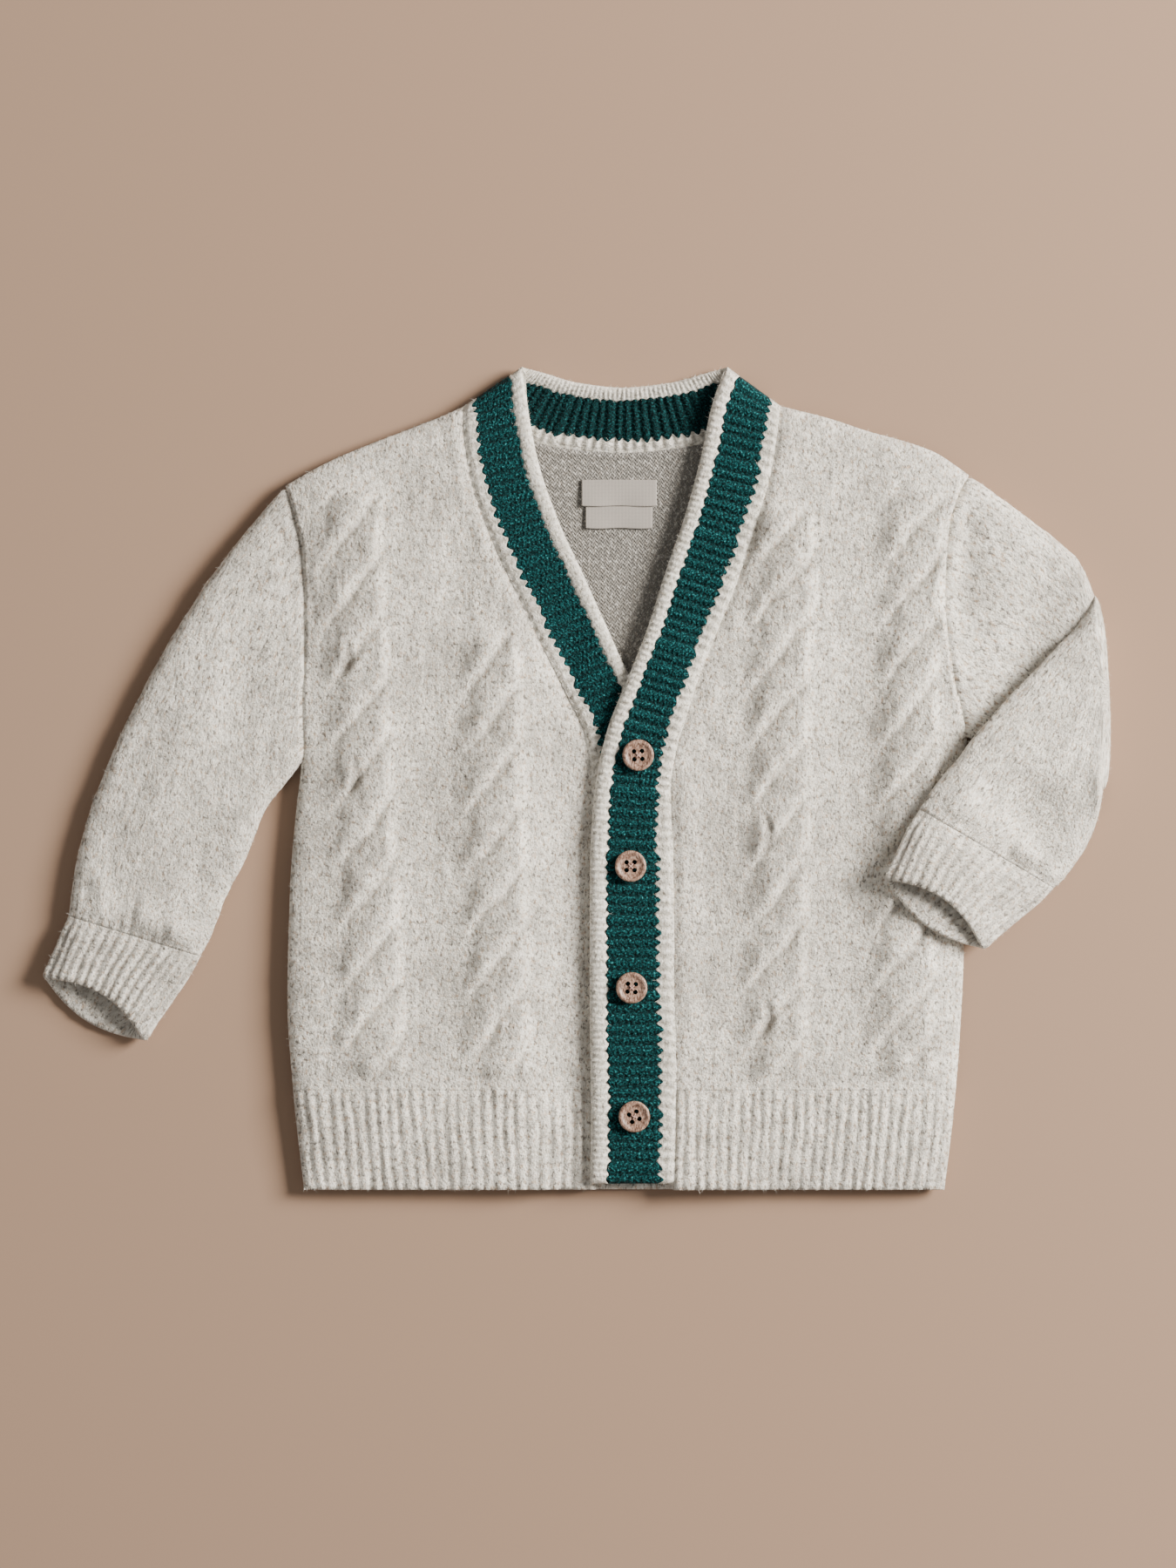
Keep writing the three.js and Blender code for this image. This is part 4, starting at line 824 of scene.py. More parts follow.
def back_top(x):
    """The back's upper edge: the right shoulder, the neck's seam and the left shoulder."""
    beside_neck = np.where(x >= NECK_LEFT[0], shoulder_left(x), neck_seam(x))
    return np.where(x <= NECK_RIGHT[0], shoulder_right(x), beside_neck)


# All of the inside's colours are painted darker for the shade inside the neck.
purl_wool_in_shade = wool("oatmeal_wool_inside", WOOL_INSIDE_SHADED, "#75726d", "#94887b", "#b9b5ad", 0.5, purl=0.7)


def back_panel():
    """The back: rows from side to side, from the rib to the shoulders. The seam's ridge is a bell beside
    the neck, beaded by a cosine."""
    width = TIP_LEFT[0] - TIP_RIGHT[0]
    beside = np.concatenate([eased(BACK_ROUND, BACK_ROUND_STEPS), np.arange(12, BACK_NEAR, 4)])
    u = np.concatenate([beside, np.arange(BACK_NEAR, 195, BACK_FINE), width - beside[::-1]])
    v = np.concatenate([np.linspace(0, 0.52, 30), np.linspace(0.53, 1, 130)])
    share, row = np.meshgrid(u / width, v)
    y = mix(HEM_TOP_Y, back_top(mix(TIP_RIGHT[0], TIP_LEFT[0], share)), row)
    x = mix(side_right(np.minimum(y, TIP_RIGHT[1])), side_left(np.minimum(y, TIP_LEFT[1])), share)
    from_neck = neck_seam(x) - y
    ridge = SEAM_RIDGE * bell(from_neck - 1.6, 0.8) * (0.8 + 0.2 * np.cos(2 * np.pi * x / 2.2))
    relief = ridge + 0.25 * lattice_noise(x / 25, y / 25, 31) + 0.08 * lattice_noise(x / 1.8, y / 1.3, 32)
    under, inside = back_layers(x, y, relief)
    uv = np.stack([x, y], -1)
    piece = make_wall("back_panel", inside, under, kept(len(u), 8, 8), kept(len(v), 8, 4), uv)
    dress(piece, purl_wool_in_shade, ["back"])


back_panel()


def hem_back():
    """The back's hem: ribs on a grid from side to side, with a rounded lower edge."""
    half = np.arange(BACK_ROUND + HEM_BACK_FINE, HEM_BACK_WIDTH / 2, HEM_BACK_FINE)
    u = np.concatenate([eased(BACK_ROUND, 16), half])
    u = np.concatenate([u, HEM_BACK_WIDTH - u[::-1]])
    v = np.concatenate([eased(LIP_WIDTH, 7), np.linspace(LIP_WIDTH + 1, HEM_HEIGHT, 14)])
    share, up = np.meshgrid(u / HEM_BACK_WIDTH, v)
    y = HEM_Y + up
    x = mix(side_right(y), side_left(y), share)
    ribs = round(HEM_BACK_WIDTH / RIB_PITCH)
    under, inside = back_layers(x, y, 0.6 * RIB_RISE * rib(share * ribs + 0.5))
    wall_lip(inside, under, lip(up))
    uv = np.stack([x, y], -1)
    piece = make_wall("rib_back", inside, under, kept(len(u), 4, 8), kept(len(v), 3, 2), uv)
    dress(piece, oatmeal_wool, ["hem_back"])


hem_back()

# Sleeves and cuffs
# Each sleeve is a tapered tube of the same brushed wool, sewn into its armhole, with a ribbed cuff
# knitted on. The right one lies out to the side. The left one is folded over at the elbow, so that its
# forearm lies on the front.

ELBOW_GAP = 0.2
ELBOW_BEND = 24  # length of cloth in the fold
ELBOW_ROUND = 32  # width over which the fold's two ends taper off
ELBOW_SHARP = 0.55  # the fold is pressed flat: less deep than it is high
SLEEVE_TOP_ROUND = 11
SLEEVE_UNDER_ROUND = 8
MOUTH_RECESS = 6.5  # the cuff's mouth is drawn back in the middle of its upper layer,
MOUTH_BULGE = 5.5  # and stands out in its lower one
CUFF_RIBS = 15  # on each side of a cuff
CUFF_PUFF = 1.9  # the sleeve puffs up over its cuff,
CUFF_DRAW = 0.5  # which draws it in
CUFF_TUCK = 0.9  # depth of the cuff's first row, under the sleeve's end,
TUCK_ROWS = (-0.025, -0.012)  # its first two rows' places, from the cuff's start, in rows of the table,
TUCK_FAR = (-0.8, -0.4)  # and in millimetres
CUFF_ROWS = (0.25, 0.6, 1.1, 1.7)  # rows near the cuff's lip, measured from its edge
RIB_FADE = 9  # the cuff's ribs fade out so far up the sleeve
SHOWN_SIDE = dict(right=1, left=-1)  # the layer that faces up at the cuff: the front one, or the back

# Height of the folded forearm's underside: over the upper arm and front, and beside the body
over_arm = through((90, 112, 122, 130, 145, 160, 176, 190), (11.7, 11.7, 11, 10.2, 9.3, 8.4, 7.5, 7.4))
beside_body = through(
    (90, 112, 120, 126, 133, 141, 150, 158, 190), (11.7, 11.7, 10.9, 9.6, 7, 3.6, 1, 0, 0)
)
BESIDE_BODY_Y = -20  # the forearm lies beside the body below this,
OVER_ARM_RUN = 32  # and wholly on the arm so far above it
ROUNDED_FROM_Y = 45


def under_forearm(x, y):
    """Height of the forearm's underside: the curve over the arm, eased into the one beside the body, and
    rounded down with the upper arm's edge at the top."""
    level = mix(beside_body(x), over_arm(x), smooth((y - BESIDE_BODY_Y) / OVER_ARM_RUN))
    rounded = level * round_edge(from_edge(x, y)[0], SLEEVE_UNDER_ROUND)[1]
    return np.where(y < ROUNDED_FROM_Y, level, rounded)


def section_place(q, width, round_width):
    """A place in a sleeve's section: q runs 0 to 1 round edge a, to 2 across, and to 3 round edge b."""
    r = np.minimum(round_width, width / 2)
    angle = np.pi / 2 * np.where(q < 1, q, np.where(q > 2, 3 - q, 1))
    cos, sin = np.cos(angle), np.sin(angle)
    from_edge_a = r * (1 - cos)
    flat = mix(r, width - r, q - 1)
    along = np.where(q < 1, from_edge_a, np.where(q > 2, width - from_edge_a, flat))
    return along, np.where(q > 2, -cos, cos), sin


def sleeve_points(sleeve, q, side, s, relief, lips, inner):
    """Points of a sleeve's outer or inner face at places q of the section and rows s. side is 1 on the
    front layer, which faces up before the elbow's fold and down after it, and -1 on the back layer."""
    curves, armhole, turned_row = sleeve["curves"], sleeve["armhole"], sleeve["turned_row"]
    ax, ay, bx, by, edge, top, turn = (curves[c](s) for c in ("ax", "ay", "bx", "by", "edge", "top", "turn"))
    width = np.hypot(bx - ax, by - ay)
    ux, uy = (bx - ax) / width, (by - ay) / width
    faces_up = (side > 0) == (turn < 0.5)
    up = np.where(side > 0, 1 - turn, turn)
    round_width = mix(SLEEVE_UNDER_ROUND, SLEEVE_TOP_ROUND, up)
    near_fold = bell(s - turned_row + 0.5, 0.8) * (turned_row > 0)
    place, cos, sin = section_place(q, width, mix(round_width, ELBOW_ROUND, near_fold))
    share = place / width

    # The first rows follow the armhole, and the cuff's last rows its mouth.
    first_x = mix(curves["ax"](0), curves["bx"](0), share)
    first_y = mix(curves["ay"](0), curves["by"](0), share)
    bow = (armhole(first_y) - first_x) * (1 - smooth(s / 1.6))
    mouth = np.where(faces_up, -MOUTH_RECESS, MOUTH_BULGE) * np.sin(np.pi * share)
    mouth = mouth * smooth(s - sleeve["cuff_row"])
    out_by = -(WALL - lips) if inner else relief - lips
    along = place - out_by * cos
    x = ax + ux * along + bow + uy * mouth
    y = ay + uy * along - ux * mouth

    # Height from the section's middle, towards this layer's side
    fold = np.where(faces_up, fold_height(x, y), 0)
    depth = mix(edge, top - edge + fold, up) + out_by
    angle = np.pi * turn
    radius = ELBOW_GAP + edge * sin
    laid_on = np.where(turn < 1, 0, mix(2 * radius, under_forearm(x, y), smooth((s - turned_row) / 2)))
    turning = np.where(turn < 1, radius * (1 - np.cos(angle)), 0)
    z = edge + laid_on + turning + side * depth * sin * np.cos(angle)
    out = ELBOW_SHARP * (radius - side * depth * sin) * np.sin(angle)
    x, y = x - uy * out, y + ux * out

    # At the armhole its height is the body's.
    into = from_edge(x, y)[0]
    on_front = SEAM_Z + (FRONT_RISE + fold) * round_edge(into, FRONT_ROUND)[1]
    on_back = SEAM_Z * (1 - round_edge(into, BACK_ROUND)[1])
    at_seam = np.where(side > 0, on_front, on_back) + side * sin * out_by
    z = mix(at_seam, z, smooth(s / 0.9))
    return np.stack([x, y, np.maximum(z, 0)], -1)


SLEEVES = dict(
    right=dict(curves=sleeve_right, armhole=side_right, cuff_row=6, turned_row=0),
    left=dict(curves=sleeve_left, armhole=side_left, cuff_row=10, turned_row=5),
)


def along_middle(curves, start, end, edges):
    """900 rows of a strip, and the distance to each along its middle, between its two edges. The cloth
    that bends over at the elbow is counted too."""
    s = np.linspace(start, end, 900)
    x = (curves[edges[0] + "x"](s) + curves[edges[1] + "x"](s)) / 2
    y = (curves[edges[0] + "y"](s) + curves[edges[1] + "y"](s)) / 2
    step = np.hypot(np.diff(x), np.diff(y))
    if "turn" in curves:
        step = step + ELBOW_BEND * np.abs(np.diff(curves["turn"](s)))
    return s, np.concatenate([[0], np.cumsum(step)])


def rows_by_length(curves, start, end, spacing, extra=()):
    """Rows at even distances along the sleeve's middle, and extra ones, with the distance of each."""
    s, length = along_middle(curves, start, end, ("a", "b"))
    at = np.linspace(0, length[-1], max(int(length[-1] / spacing), 2))
    at = np.union1d(at, [length[-1] - e for e in extra])
    return np.interp(at, length, s), at


EDGE_STEPS = 20
ACROSS_STEPS = 96
HIDDEN_STEPS = 36  # across a layer that isn't seen


def ring_grid(name, s, at):
    """The places round a section, up the front layer and down the back, for rows s: the place, the layer
    that it is on, the row, and the distance along the sleeve."""
    round_a, round_b = np.linspace(0, 1, EDGE_STEPS), np.linspace(2, 3, EDGE_STEPS)
    across = np.linspace(1, 2, ACROSS_STEPS)[1:-1]
    back_across = np.linspace(2, 1, HIDDEN_STEPS if name == "right" else ACROSS_STEPS)[1:-1]
    front = np.concatenate([round_a, across, round_b])[:-1]
    round_b_back, round_a_back = np.linspace(3, 2, EDGE_STEPS), np.linspace(1, 0, EDGE_STEPS)
    back = np.concatenate([round_b_back, back_across, round_a_back])[:-1]
    q, rows = np.meshgrid(np.concatenate([front, back]), s)
    side = np.broadcast_to(np.concatenate([np.ones(len(front)), -np.ones(len(back))]), q.shape)
    return q, side, rows, np.broadcast_to(at[:, None], q.shape)


CUFF_WIDTH = 48


def section_length(q):
    """Distance round a cuff's section to place q, with its rounded edges unrolled."""
    flat = section_place(q, CUFF_WIDTH, SLEEVE_TOP_ROUND)[0]
    return flat + 2.5 * np.where(q < 1, q, np.where(q > 2, q - 1, 1))


def cuff_ribs(q, side, far, name):
    """A cuff's ribs, on its layer that shows, so many millimetres beyond the cuff's first row: at that
    row they are at half height, and they fade out up the sleeve. Also gives painted shade between them."""
    place = section_length(q) / section_length(np.array(3.0)) * CUFF_RIBS
    ribs = rib(place + 0.09 * lattice_noise(place, far / 9, 13))
    share = smooth((far + RIB_FADE) / (2 * RIB_FADE)) * (side == SHOWN_SIDE[name])
    relief = RIB_RISE * share * ribs * (1 + 0.25 * lattice_noise(place, far / 12, 16))
    return relief, 0.8 * share * (1 - ribs)


ARM_FINE = 1.2  # spacing of a sleeve's rows
ARM_WIDTH = 70


def sleeve_piece(name):
    """A sleeve from the armhole to its cuff: a tube over its rows, with the stitches, the gathered puff
    above the cuff and the first of the cuff's ribs as relief."""
    sleeve = SLEEVES[name]
    s, at = rows_by_length(sleeve["curves"], 0, sleeve["cuff_row"], ARM_FINE)
    q, side, rows, far = ring_grid(name, s, at)
    flat = section_place(q, ARM_WIDTH, SLEEVE_TOP_ROUND)[0] * side
    to_cuff = at[-1] - far
    gathers = 1 + 0.7 * lattice_noise(flat / 6, far / 14, 15)
    puff = CUFF_PUFF * bell(to_cuff - 9, 6) * smooth(to_cuff / 4) * gathers
    puff = puff * smooth(np.minimum(q, 3 - q) - 0.2) * (side == SHOWN_SIDE[name])
    puff = puff - CUFF_DRAW * (1 - smooth(to_cuff / 5))
    # The cuff's first ribs, and painted shade between them
    ribs, painted_shade = cuff_ribs(q, side, -to_cuff, name)
    relief = nap_relief(flat, far, 11) + 0.5 * lattice_noise(flat / 24, far / 30, 12)
    relief = relief * smooth(far / 3) * smooth((to_cuff - 1) / 2)
    relief = relief - seam_sink(far, **ARMHOLE_SINK) + puff + ribs
    outer = sleeve_points(sleeve, q, side, rows, relief, 0, False)
    inner = sleeve_points(sleeve, q, side, rows, 0, 0, True)
    # The seam allowance turns in under the body's edge.
    towards_body = 2 if name == "right" else -2
    for face in (outer, inner):
        face[0, :, 0] += towards_body
        face[0, :, 2] -= 0.7 * side[0]
    uv = np.stack([flat, far], -1)
    keep_u, keep_v = kept(q.shape[1], 4)[:-1], kept(len(s), 5)
    piece = make_wall("arm_" + name, outer, inner, keep_u, keep_v, uv, ring=True, painted_shade=painted_shade)
    dress(piece, oatmeal_wool, ["sleeve_" + name])


def cuff_piece(name):
    """A cuff: ribs round a short tube, inside and out. Its first two rows reach in under the sleeve's
    end, and its last ones are rounded to a lip at its mouth."""
    sleeve = SLEEVES[name]
    start = sleeve["cuff_row"]
    s, at = rows_by_length(sleeve["curves"], start, start + 1, 1.0, extra=CUFF_ROWS)
    s = np.concatenate([start + np.array(TUCK_ROWS), s])
    at = np.concatenate([TUCK_FAR, at])
    q, side, rows, far = ring_grid(name, s, at)
    lips = lip(at[-1] - far)
    # The cuff's ribs, and painted shade between them
    ribs, painted_shade = cuff_ribs(q, side, far, name)
    tucked = np.where(far < 0, 0.04, 0) + np.where(far < -0.6, CUFF_TUCK, 0)
    relief = ribs + 0.6 * nap_relief(q * 20, far, 14) * smooth(far / 2.5)
    relief = relief - CUFF_DRAW * (1 - smooth(far / 7)) - tucked
    outer = sleeve_points(sleeve, q, side, rows, relief, lips, False)
    inside_ribs, inside_purl_and_shade = cuff_ribs(q, -side, far, name)
    inner = sleeve_points(sleeve, q, side, rows, 0, lips - 0.5 * inside_ribs, True)
    # The inside is the greyer purl side, with painted shade for the cuff's dark mouth and between the inner
    # ribs, but not on the rim that rolls in.
    inside_purl_and_shade = (0.45 + 0.6 * inside_purl_and_shade) * smooth((at[-1] - far - 1) / 2)
    uv = np.stack([section_length(q) * side, far + 200], -1)
    keep_u, keep_v = kept(q.shape[1], 3)[:-1], kept(len(s), 5, 4)
    piece = make_wall(
        "cuff_rib_" + name, outer, inner, keep_u, keep_v, uv,
        ring=True, painted_shade=painted_shade, inner_purl_and_shade=inside_purl_and_shade,
    )
    dress(piece, oatmeal_wool, ["cuff_" + name])


for name in SLEEVES:
    sleeve_piece(name)
    cuff_piece(name)

# Bands
# A rib knitted sideways and sewn round the fronts and the neck: a rolled cream edge, dark teal with
# black, bright teal and green fibres, and cream tipping at the seam. The colours change inside the rib,
# so their borders are toothed, a tooth to each rib.

BAND_WIDTH = 29
BAND_SPACING = 0.55
BAND_RIB_RISE = 0.95
BAND_SEAM_RUN = 2.4  # the ribs flatten so near the seam,
BAND_END_RUN = 3  # and so near the band's ends
STITCH_RISE = 0.16
STITCH_PITCH = 2.1
NECK_SHADE = 0.95  # the neck's green rib lies in the collar's shade, so all of it is as dark as a valley
EDGING_SHARE = 0.21  # share of the band's width that is edging
EDGING_RISE = 0.75
EDGING_BUMPS = 1.7  # small cross ribs on the edging for each rib of the band,
EDGING_BUMP_RISE = 0.8  # and their height
EDGING_TOOTH = 0.9  # how far the green comes out into the edging, rib by rib
GREEN_SHARE = 0.8  # share of the width at which the green ends
GREEN_TOOTH = 2
TEAL_BASE = "#052829"
TEAL_DARK = "#020c0d"
TEAL_MID = "#094547"
TEAL_LIGHT = "#3f9092"
TIPPING_CREAM = "#ebe6d9"


def teal_wool():
    """Marled teal wool, rib-knitted and lightly brushed: dark loops with bright fibres, in flecks of
    about a millimetre, and matt. Painted shade makes it nearly black between the ribs. A ramp over fine
    noise gives the flecks, and round cells the loops."""
    material, tree = empty_material("teal_marled_wool")
    place = add(tree, "ShaderNodeUVMap", uv_map="knit").outputs["UV"]
    flecks = add(
        tree, "ShaderNodeTexNoise", {"Vector": place, "Scale": 1.25, "Detail": 4.0, "Roughness": 0.75}
    ).outputs["Fac"]
    colour = set_ramp(
        add(tree, "ShaderNodeValToRGB", {"Fac": flecks}),
        [(0.4, TEAL_DARK), (0.49, TEAL_BASE), (0.57, TEAL_MID), (0.68, TEAL_LIGHT)],
    )
    painted_shade = add(tree, "ShaderNodeAttribute", attribute_name="painted_shade").outputs["Fac"]
    # Painted shade: between the ribs the colour is mixed towards the darkest teal
    deep = add(tree, "ShaderNodeMapRange", {"Value": painted_shade, "From Min": 0.35, "To Max": 0.6})
    mixed = {"Factor": deep.outputs["Result"], "A": colour, "B": linear(TEAL_DARK)}
    shaded = add(tree, "ShaderNodeMix", mixed, data_type="RGBA")
    loops = add(tree, "ShaderNodeTexVoronoi", {"Vector": place, "Scale": 0.85}).outputs["Distance"]
    bump = add(
        tree, "ShaderNodeBump", {"Height": loops, "Strength": 0.7, "Distance": 0.0007}, invert=True
    )
    return finish_surface(material, {
        "Base Color": shaded.outputs["Result"],
        "Normal": bump.outputs["Normal"],
        "Roughness": 0.95,
        "Specular IOR Level": 0.1,
        "Sheen Weight": 0.05,
    })


band_teal = teal_wool()
# The tipping's grey is also the colour that painted shade between its ribs mixes towards.
tipping_wool = wool("cream_tipping_wool", TIPPING_CREAM, "#8f897e", "#d8c9b8", "#f6f3ec", 0.45)


def band_rows(curves, last):
    """Rows at even distances along a band's middle, the share of the whole that each is at, and the
    whole length."""
    s, length = along_middle(curves, 0, last, ("free_", "seam_"))
    at = np.linspace(0, length[-1], int(length[-1] / BAND_SPACING))
    return np.interp(at, length, s), at / length[-1], length[-1]


def right_surface(x, y, relief, sink):
    """The right band's faces: the front's, dipping under the left band."""
    return front_layers(x, y, under_dip(x, y), relief, sink)


def left_surface(x, y, relief, sink):
    """The left band's faces: the front's."""
    return front_layers(x, y, 0, relief, sink)


def neck_surface(x, y, relief, sink):
    """The neck band's faces: the back's, with its inside up."""
    under, inside = back_layers(x, y, relief - sink)
    return inside, under


BANDS = dict(
    right=dict(table=BAND_RIGHT, ribs=76, surface=right_surface, seed=41),
    left=dict(table=BAND_LEFT, ribs=76, surface=left_surface, seed=42),
    neck=dict(table=BAND_NECK, ribs=30, surface=neck_surface, seed=43),
)


def band_pieces(name):
    """A band's three strips, side by side on one row of places from its free edge to its seam. Borders
    between colours move out and in by a share of the rib's height, as teeth. The rib and the stitches
    are cosines along and across the band, and the edging is a half sine across, for its roll."""
    band = BANDS[name]
    curves = row_curves(band["table"])
    s, share, length = band_rows(curves, len(band["table"]["free_x"]) - 1)
    place = share * band["ribs"]
    uneven = lattice_noise(place, np.zeros(len(place)), band["seed"])
    tooth = rib(place + 0.2 * uneven)
    bumps = rib(EDGING_BUMPS * place)
    green_from = EDGING_SHARE - (EDGING_TOOTH * (tooth - 0.5) + 0.4 * uneven) / BAND_WIDTH
    green_tooth = (GREEN_TOOTH + 0.9 * uneven) * (tooth - 0.5)
    green_to = GREEN_SHARE + (green_tooth + 0.6 * uneven) / BAND_WIDTH
    none, whole = np.zeros(len(s)), np.ones(len(s))
    strips = (
        ("edging", none, green_from, 15, tipping_wool, "cream_tipping"),
        ("band", green_from, green_to, 34, band_teal, "green_rib"),
        ("tipping", green_to, whole, 13, tipping_wool, "cream_tipping"),
    )
    for kind, start, end, columns, material, slot in strips:
        t = eased(1, columns) if kind == "edging" else np.linspace(0, 1, columns)
        across = mix(start[:, None], end[:, None], t)
        rows = np.broadcast_to(s[:, None], across.shape)
        x = mix(curves["free_x"](rows), curves["seam_x"](rows), across)
        y = mix(curves["free_y"](rows), curves["seam_y"](rows), across)
        mm_across = across * BAND_WIDTH
        mm_along = np.broadcast_to(share[:, None] * length, across.shape)
        ribs = np.broadcast_to(tooth[:, None], across.shape)
        ends = np.minimum(mm_along, BAND_END_RUN) / BAND_END_RUN
        if kind == "edging":
            roll = np.sin(np.pi * np.clip(across / EDGING_SHARE, 0, 1)) ** 0.6
            small = np.broadcast_to(bumps[:, None], across.shape)
            relief = (EDGING_RISE + EDGING_BUMP_RISE * small) * roll
            # Painted shade between the edging's small cross ribs
            painted_shade = 0.85 * (1 - small) * roll
        else:
            every_other_row = np.pi * np.round(mm_along / 2.05)
            stitches = STITCH_RISE * np.cos(2 * np.pi * mm_across / STITCH_PITCH + every_other_row)
            to_seam = smooth((1 - across) * BAND_WIDTH / BAND_SEAM_RUN)
            relief = BAND_RIB_RISE * ribs * to_seam + stitches * (kind == "band")
            # Painted shade between the ribs; all of the neck's green rib is painted dark for the collar's
            # shade
            shade = NECK_SHADE if name == "neck" and kind == "band" else 0
            painted_shade = np.maximum((1 - ribs) * to_seam, shade)
        relief = relief * ends + 0.12 * lattice_noise(mm_across / 1.1, mm_along / 1.1, 44)
        outer, inner = band["surface"](x, y, relief, seam_sink((1 - across) * BAND_WIDTH, **BAND_SINK))
        wall_lip(outer, inner, lip(np.minimum(mm_across, mm_along if name != "neck" else 9)))
        uv = np.stack([mm_across, mm_along], -1)
        keep_u, keep_v = kept(columns, 7, 1), kept(len(s), 7, 2)
        piece = make_wall(kind + "_strip_" + name, outer, inner, keep_u, keep_v, uv, painted_shade=painted_shade * ends)
        dress(piece, material, [kind + "_" + name])


for name in BANDS:
    band_pieces(name)

# Buttons
# Turned from coconut shell, with a raised rim, a shallow dish and four holes. Each is sewn to the right
# band with a crossed thread, and comes up through the left one.

BUTTON_X = (3.8, 0.9, 1.3, 2.3)
BUTTON_Y = (11, -31.3, -77.7, -126.8)
BUTTON_TURN = (0.05, 0.0, -0.06, 0.4)
BUTTON_RADIUS = 6
BUTTON_THICK = 2.4
HOLE_RADIUS = 0.9
HOLE_OUT = 2.12  # from the button's middle to a hole's
STITCH_OUT = 0.72  # the thread goes down nearer to the middle, at this share of that
DISH_Z = 1.8
SHELL_BROWNS = ("#38251b", "#745747", "#987a69", "#c2a896")
THREAD_ROSE = "#b79285"
THREAD_RADIUS = 0.2
# Radius and height of the outline, from the middle of the top round to the middle of the underside
BUTTON_OUTLINE = dict(
    r=(0, 3.4, 4.1, 4.6, 5.0, 5.5, 5.85, 6, 5.9, 5.4, 4.4, 0),
    z=(1.8, 1.8, 1.95, 2.25, 2.38, 2.35, 2.1, 1.6, 0.9, 0.3, 0, 0),
)


def coconut_shell():
    """Coconut shell, turned and polished: pinkish brown with darker pores and grain along one way, and a
    soft gloss."""
    material, tree = empty_material("coconut_shell")
    spot = add(tree, "ShaderNodeTexCoord").outputs["Object"]
    # Grain half a millimetre wide and three times as long
    along = add(tree, "ShaderNodeMapping", {"Vector": spot, "Scale": (1, 0.35, 1)}).outputs["Vector"]
    grain = add(
        tree, "ShaderNodeTexNoise", {"Vector": along, "Scale": 1900.0, "Detail": 4.0, "Roughness": 0.7}
    ).outputs["Fac"]
    stops = zip((0.36, 0.46, 0.55, 0.68), SHELL_BROWNS)
    colour = set_ramp(add(tree, "ShaderNodeValToRGB", {"Fac": grain}), list(stops))
    return finish_surface(material, {"Base Color": colour, "Roughness": 0.42})


def plain(name, colour, roughness):
    """A finish that is the same all over."""
    return finish_surface(empty_material(name)[0], {"Base Color": linear(colour), "Roughness": roughness})


def turned(name, radii, heights, segments):
    """A solid turned about Z, closed by a point at the top and at the underside."""
    angle = np.arange(segments) * 2 * np.pi / segments
    r, z = np.array(radii[1:-1], float)[:, None], np.array(heights[1:-1], float)[:, None]
    rings = np.stack([r * np.cos(angle), r * np.sin(angle), z + 0 * angle], -1)
    points = np.vstack([rings.reshape(-1, 3), [[0, 0, heights[0]]], [[0, 0, heights[-1]]]])
    index = np.arange(rings.shape[0] * segments).reshape(rings.shape[0], segments)
    index = np.hstack([index, index[:, :1]])
    top = [(len(points) - 2, b, a) for a, b in zip(index[0][:-1], index[0][1:])]
    under = [(len(points) - 1, a, b) for a, b in zip(index[-1][:-1], index[-1][1:])]
    return make_mesh(name, points, grid_quads(index), np.array(top + under))


def drill(piece, places, radius, deep):
    """Cuts round holes down through a piece at places in millimetres."""
    for x, y in places * MM:
        bpy.ops.mesh.primitive_cylinder_add(
            vertices=20, radius=radius * MM, depth=deep * MM, location=(x, y, 0)
        )
        cutter = bpy.context.object
        cut = piece.modifiers.new("hole", "BOOLEAN")
        cut.object = cutter
        cut.solver = "EXACT"
        bpy.context.view_layer.objects.active = piece
        bpy.ops.object.modifier_apply(modifier=cut.name)
        bpy.data.objects.remove(cutter)


def thread_stitch(start, end):
    """A stitch as a bent tube of 12 rings of 8 points, from one hole to another, closed by quads. Its
    middle stands 0.38 mm up, and its ends go down as the ninth power of the way from the middle."""
    steps, sides = 12, 8
    t = np.linspace(0, 1, steps)
    line = mix(start, end, t[:, None])
    arch = 0.38 - 2.6 * np.abs(2 * t - 1) ** 9
    way = (end - start) / np.hypot(*(end - start))
    angle = np.arange(sides) * 2 * np.pi / sides
    side, up = np.cos(angle) * THREAD_RADIUS, np.sin(angle) * THREAD_RADIUS
    x = line[:, :1] - way[1] * side
    y = line[:, 1:] + way[0] * side
    z = arch[:, None] + up
    points = np.stack([x, y, z], -1).reshape(-1, 3)
    index = np.arange(len(points)).reshape(steps, sides)
    tube = grid_quads(np.hstack([index, index[:, :1]]))
    caps = [index[0][[0, 1, 2, 7]], index[0][[2, 3, 6, 7]], index[0][[3, 4, 5, 6]]]
    caps += [index[-1][[7, 2, 1, 0]], index[-1][[7, 6, 3, 2]], index[-1][[6, 5, 4, 3]]]
    return points, np.vstack([tube, caps])


shell = coconut_shell()
# Polyester sewing thread, twisted and matt
sewing_thread = plain("rose_sewing_thread", THREAD_ROSE, 0.8)


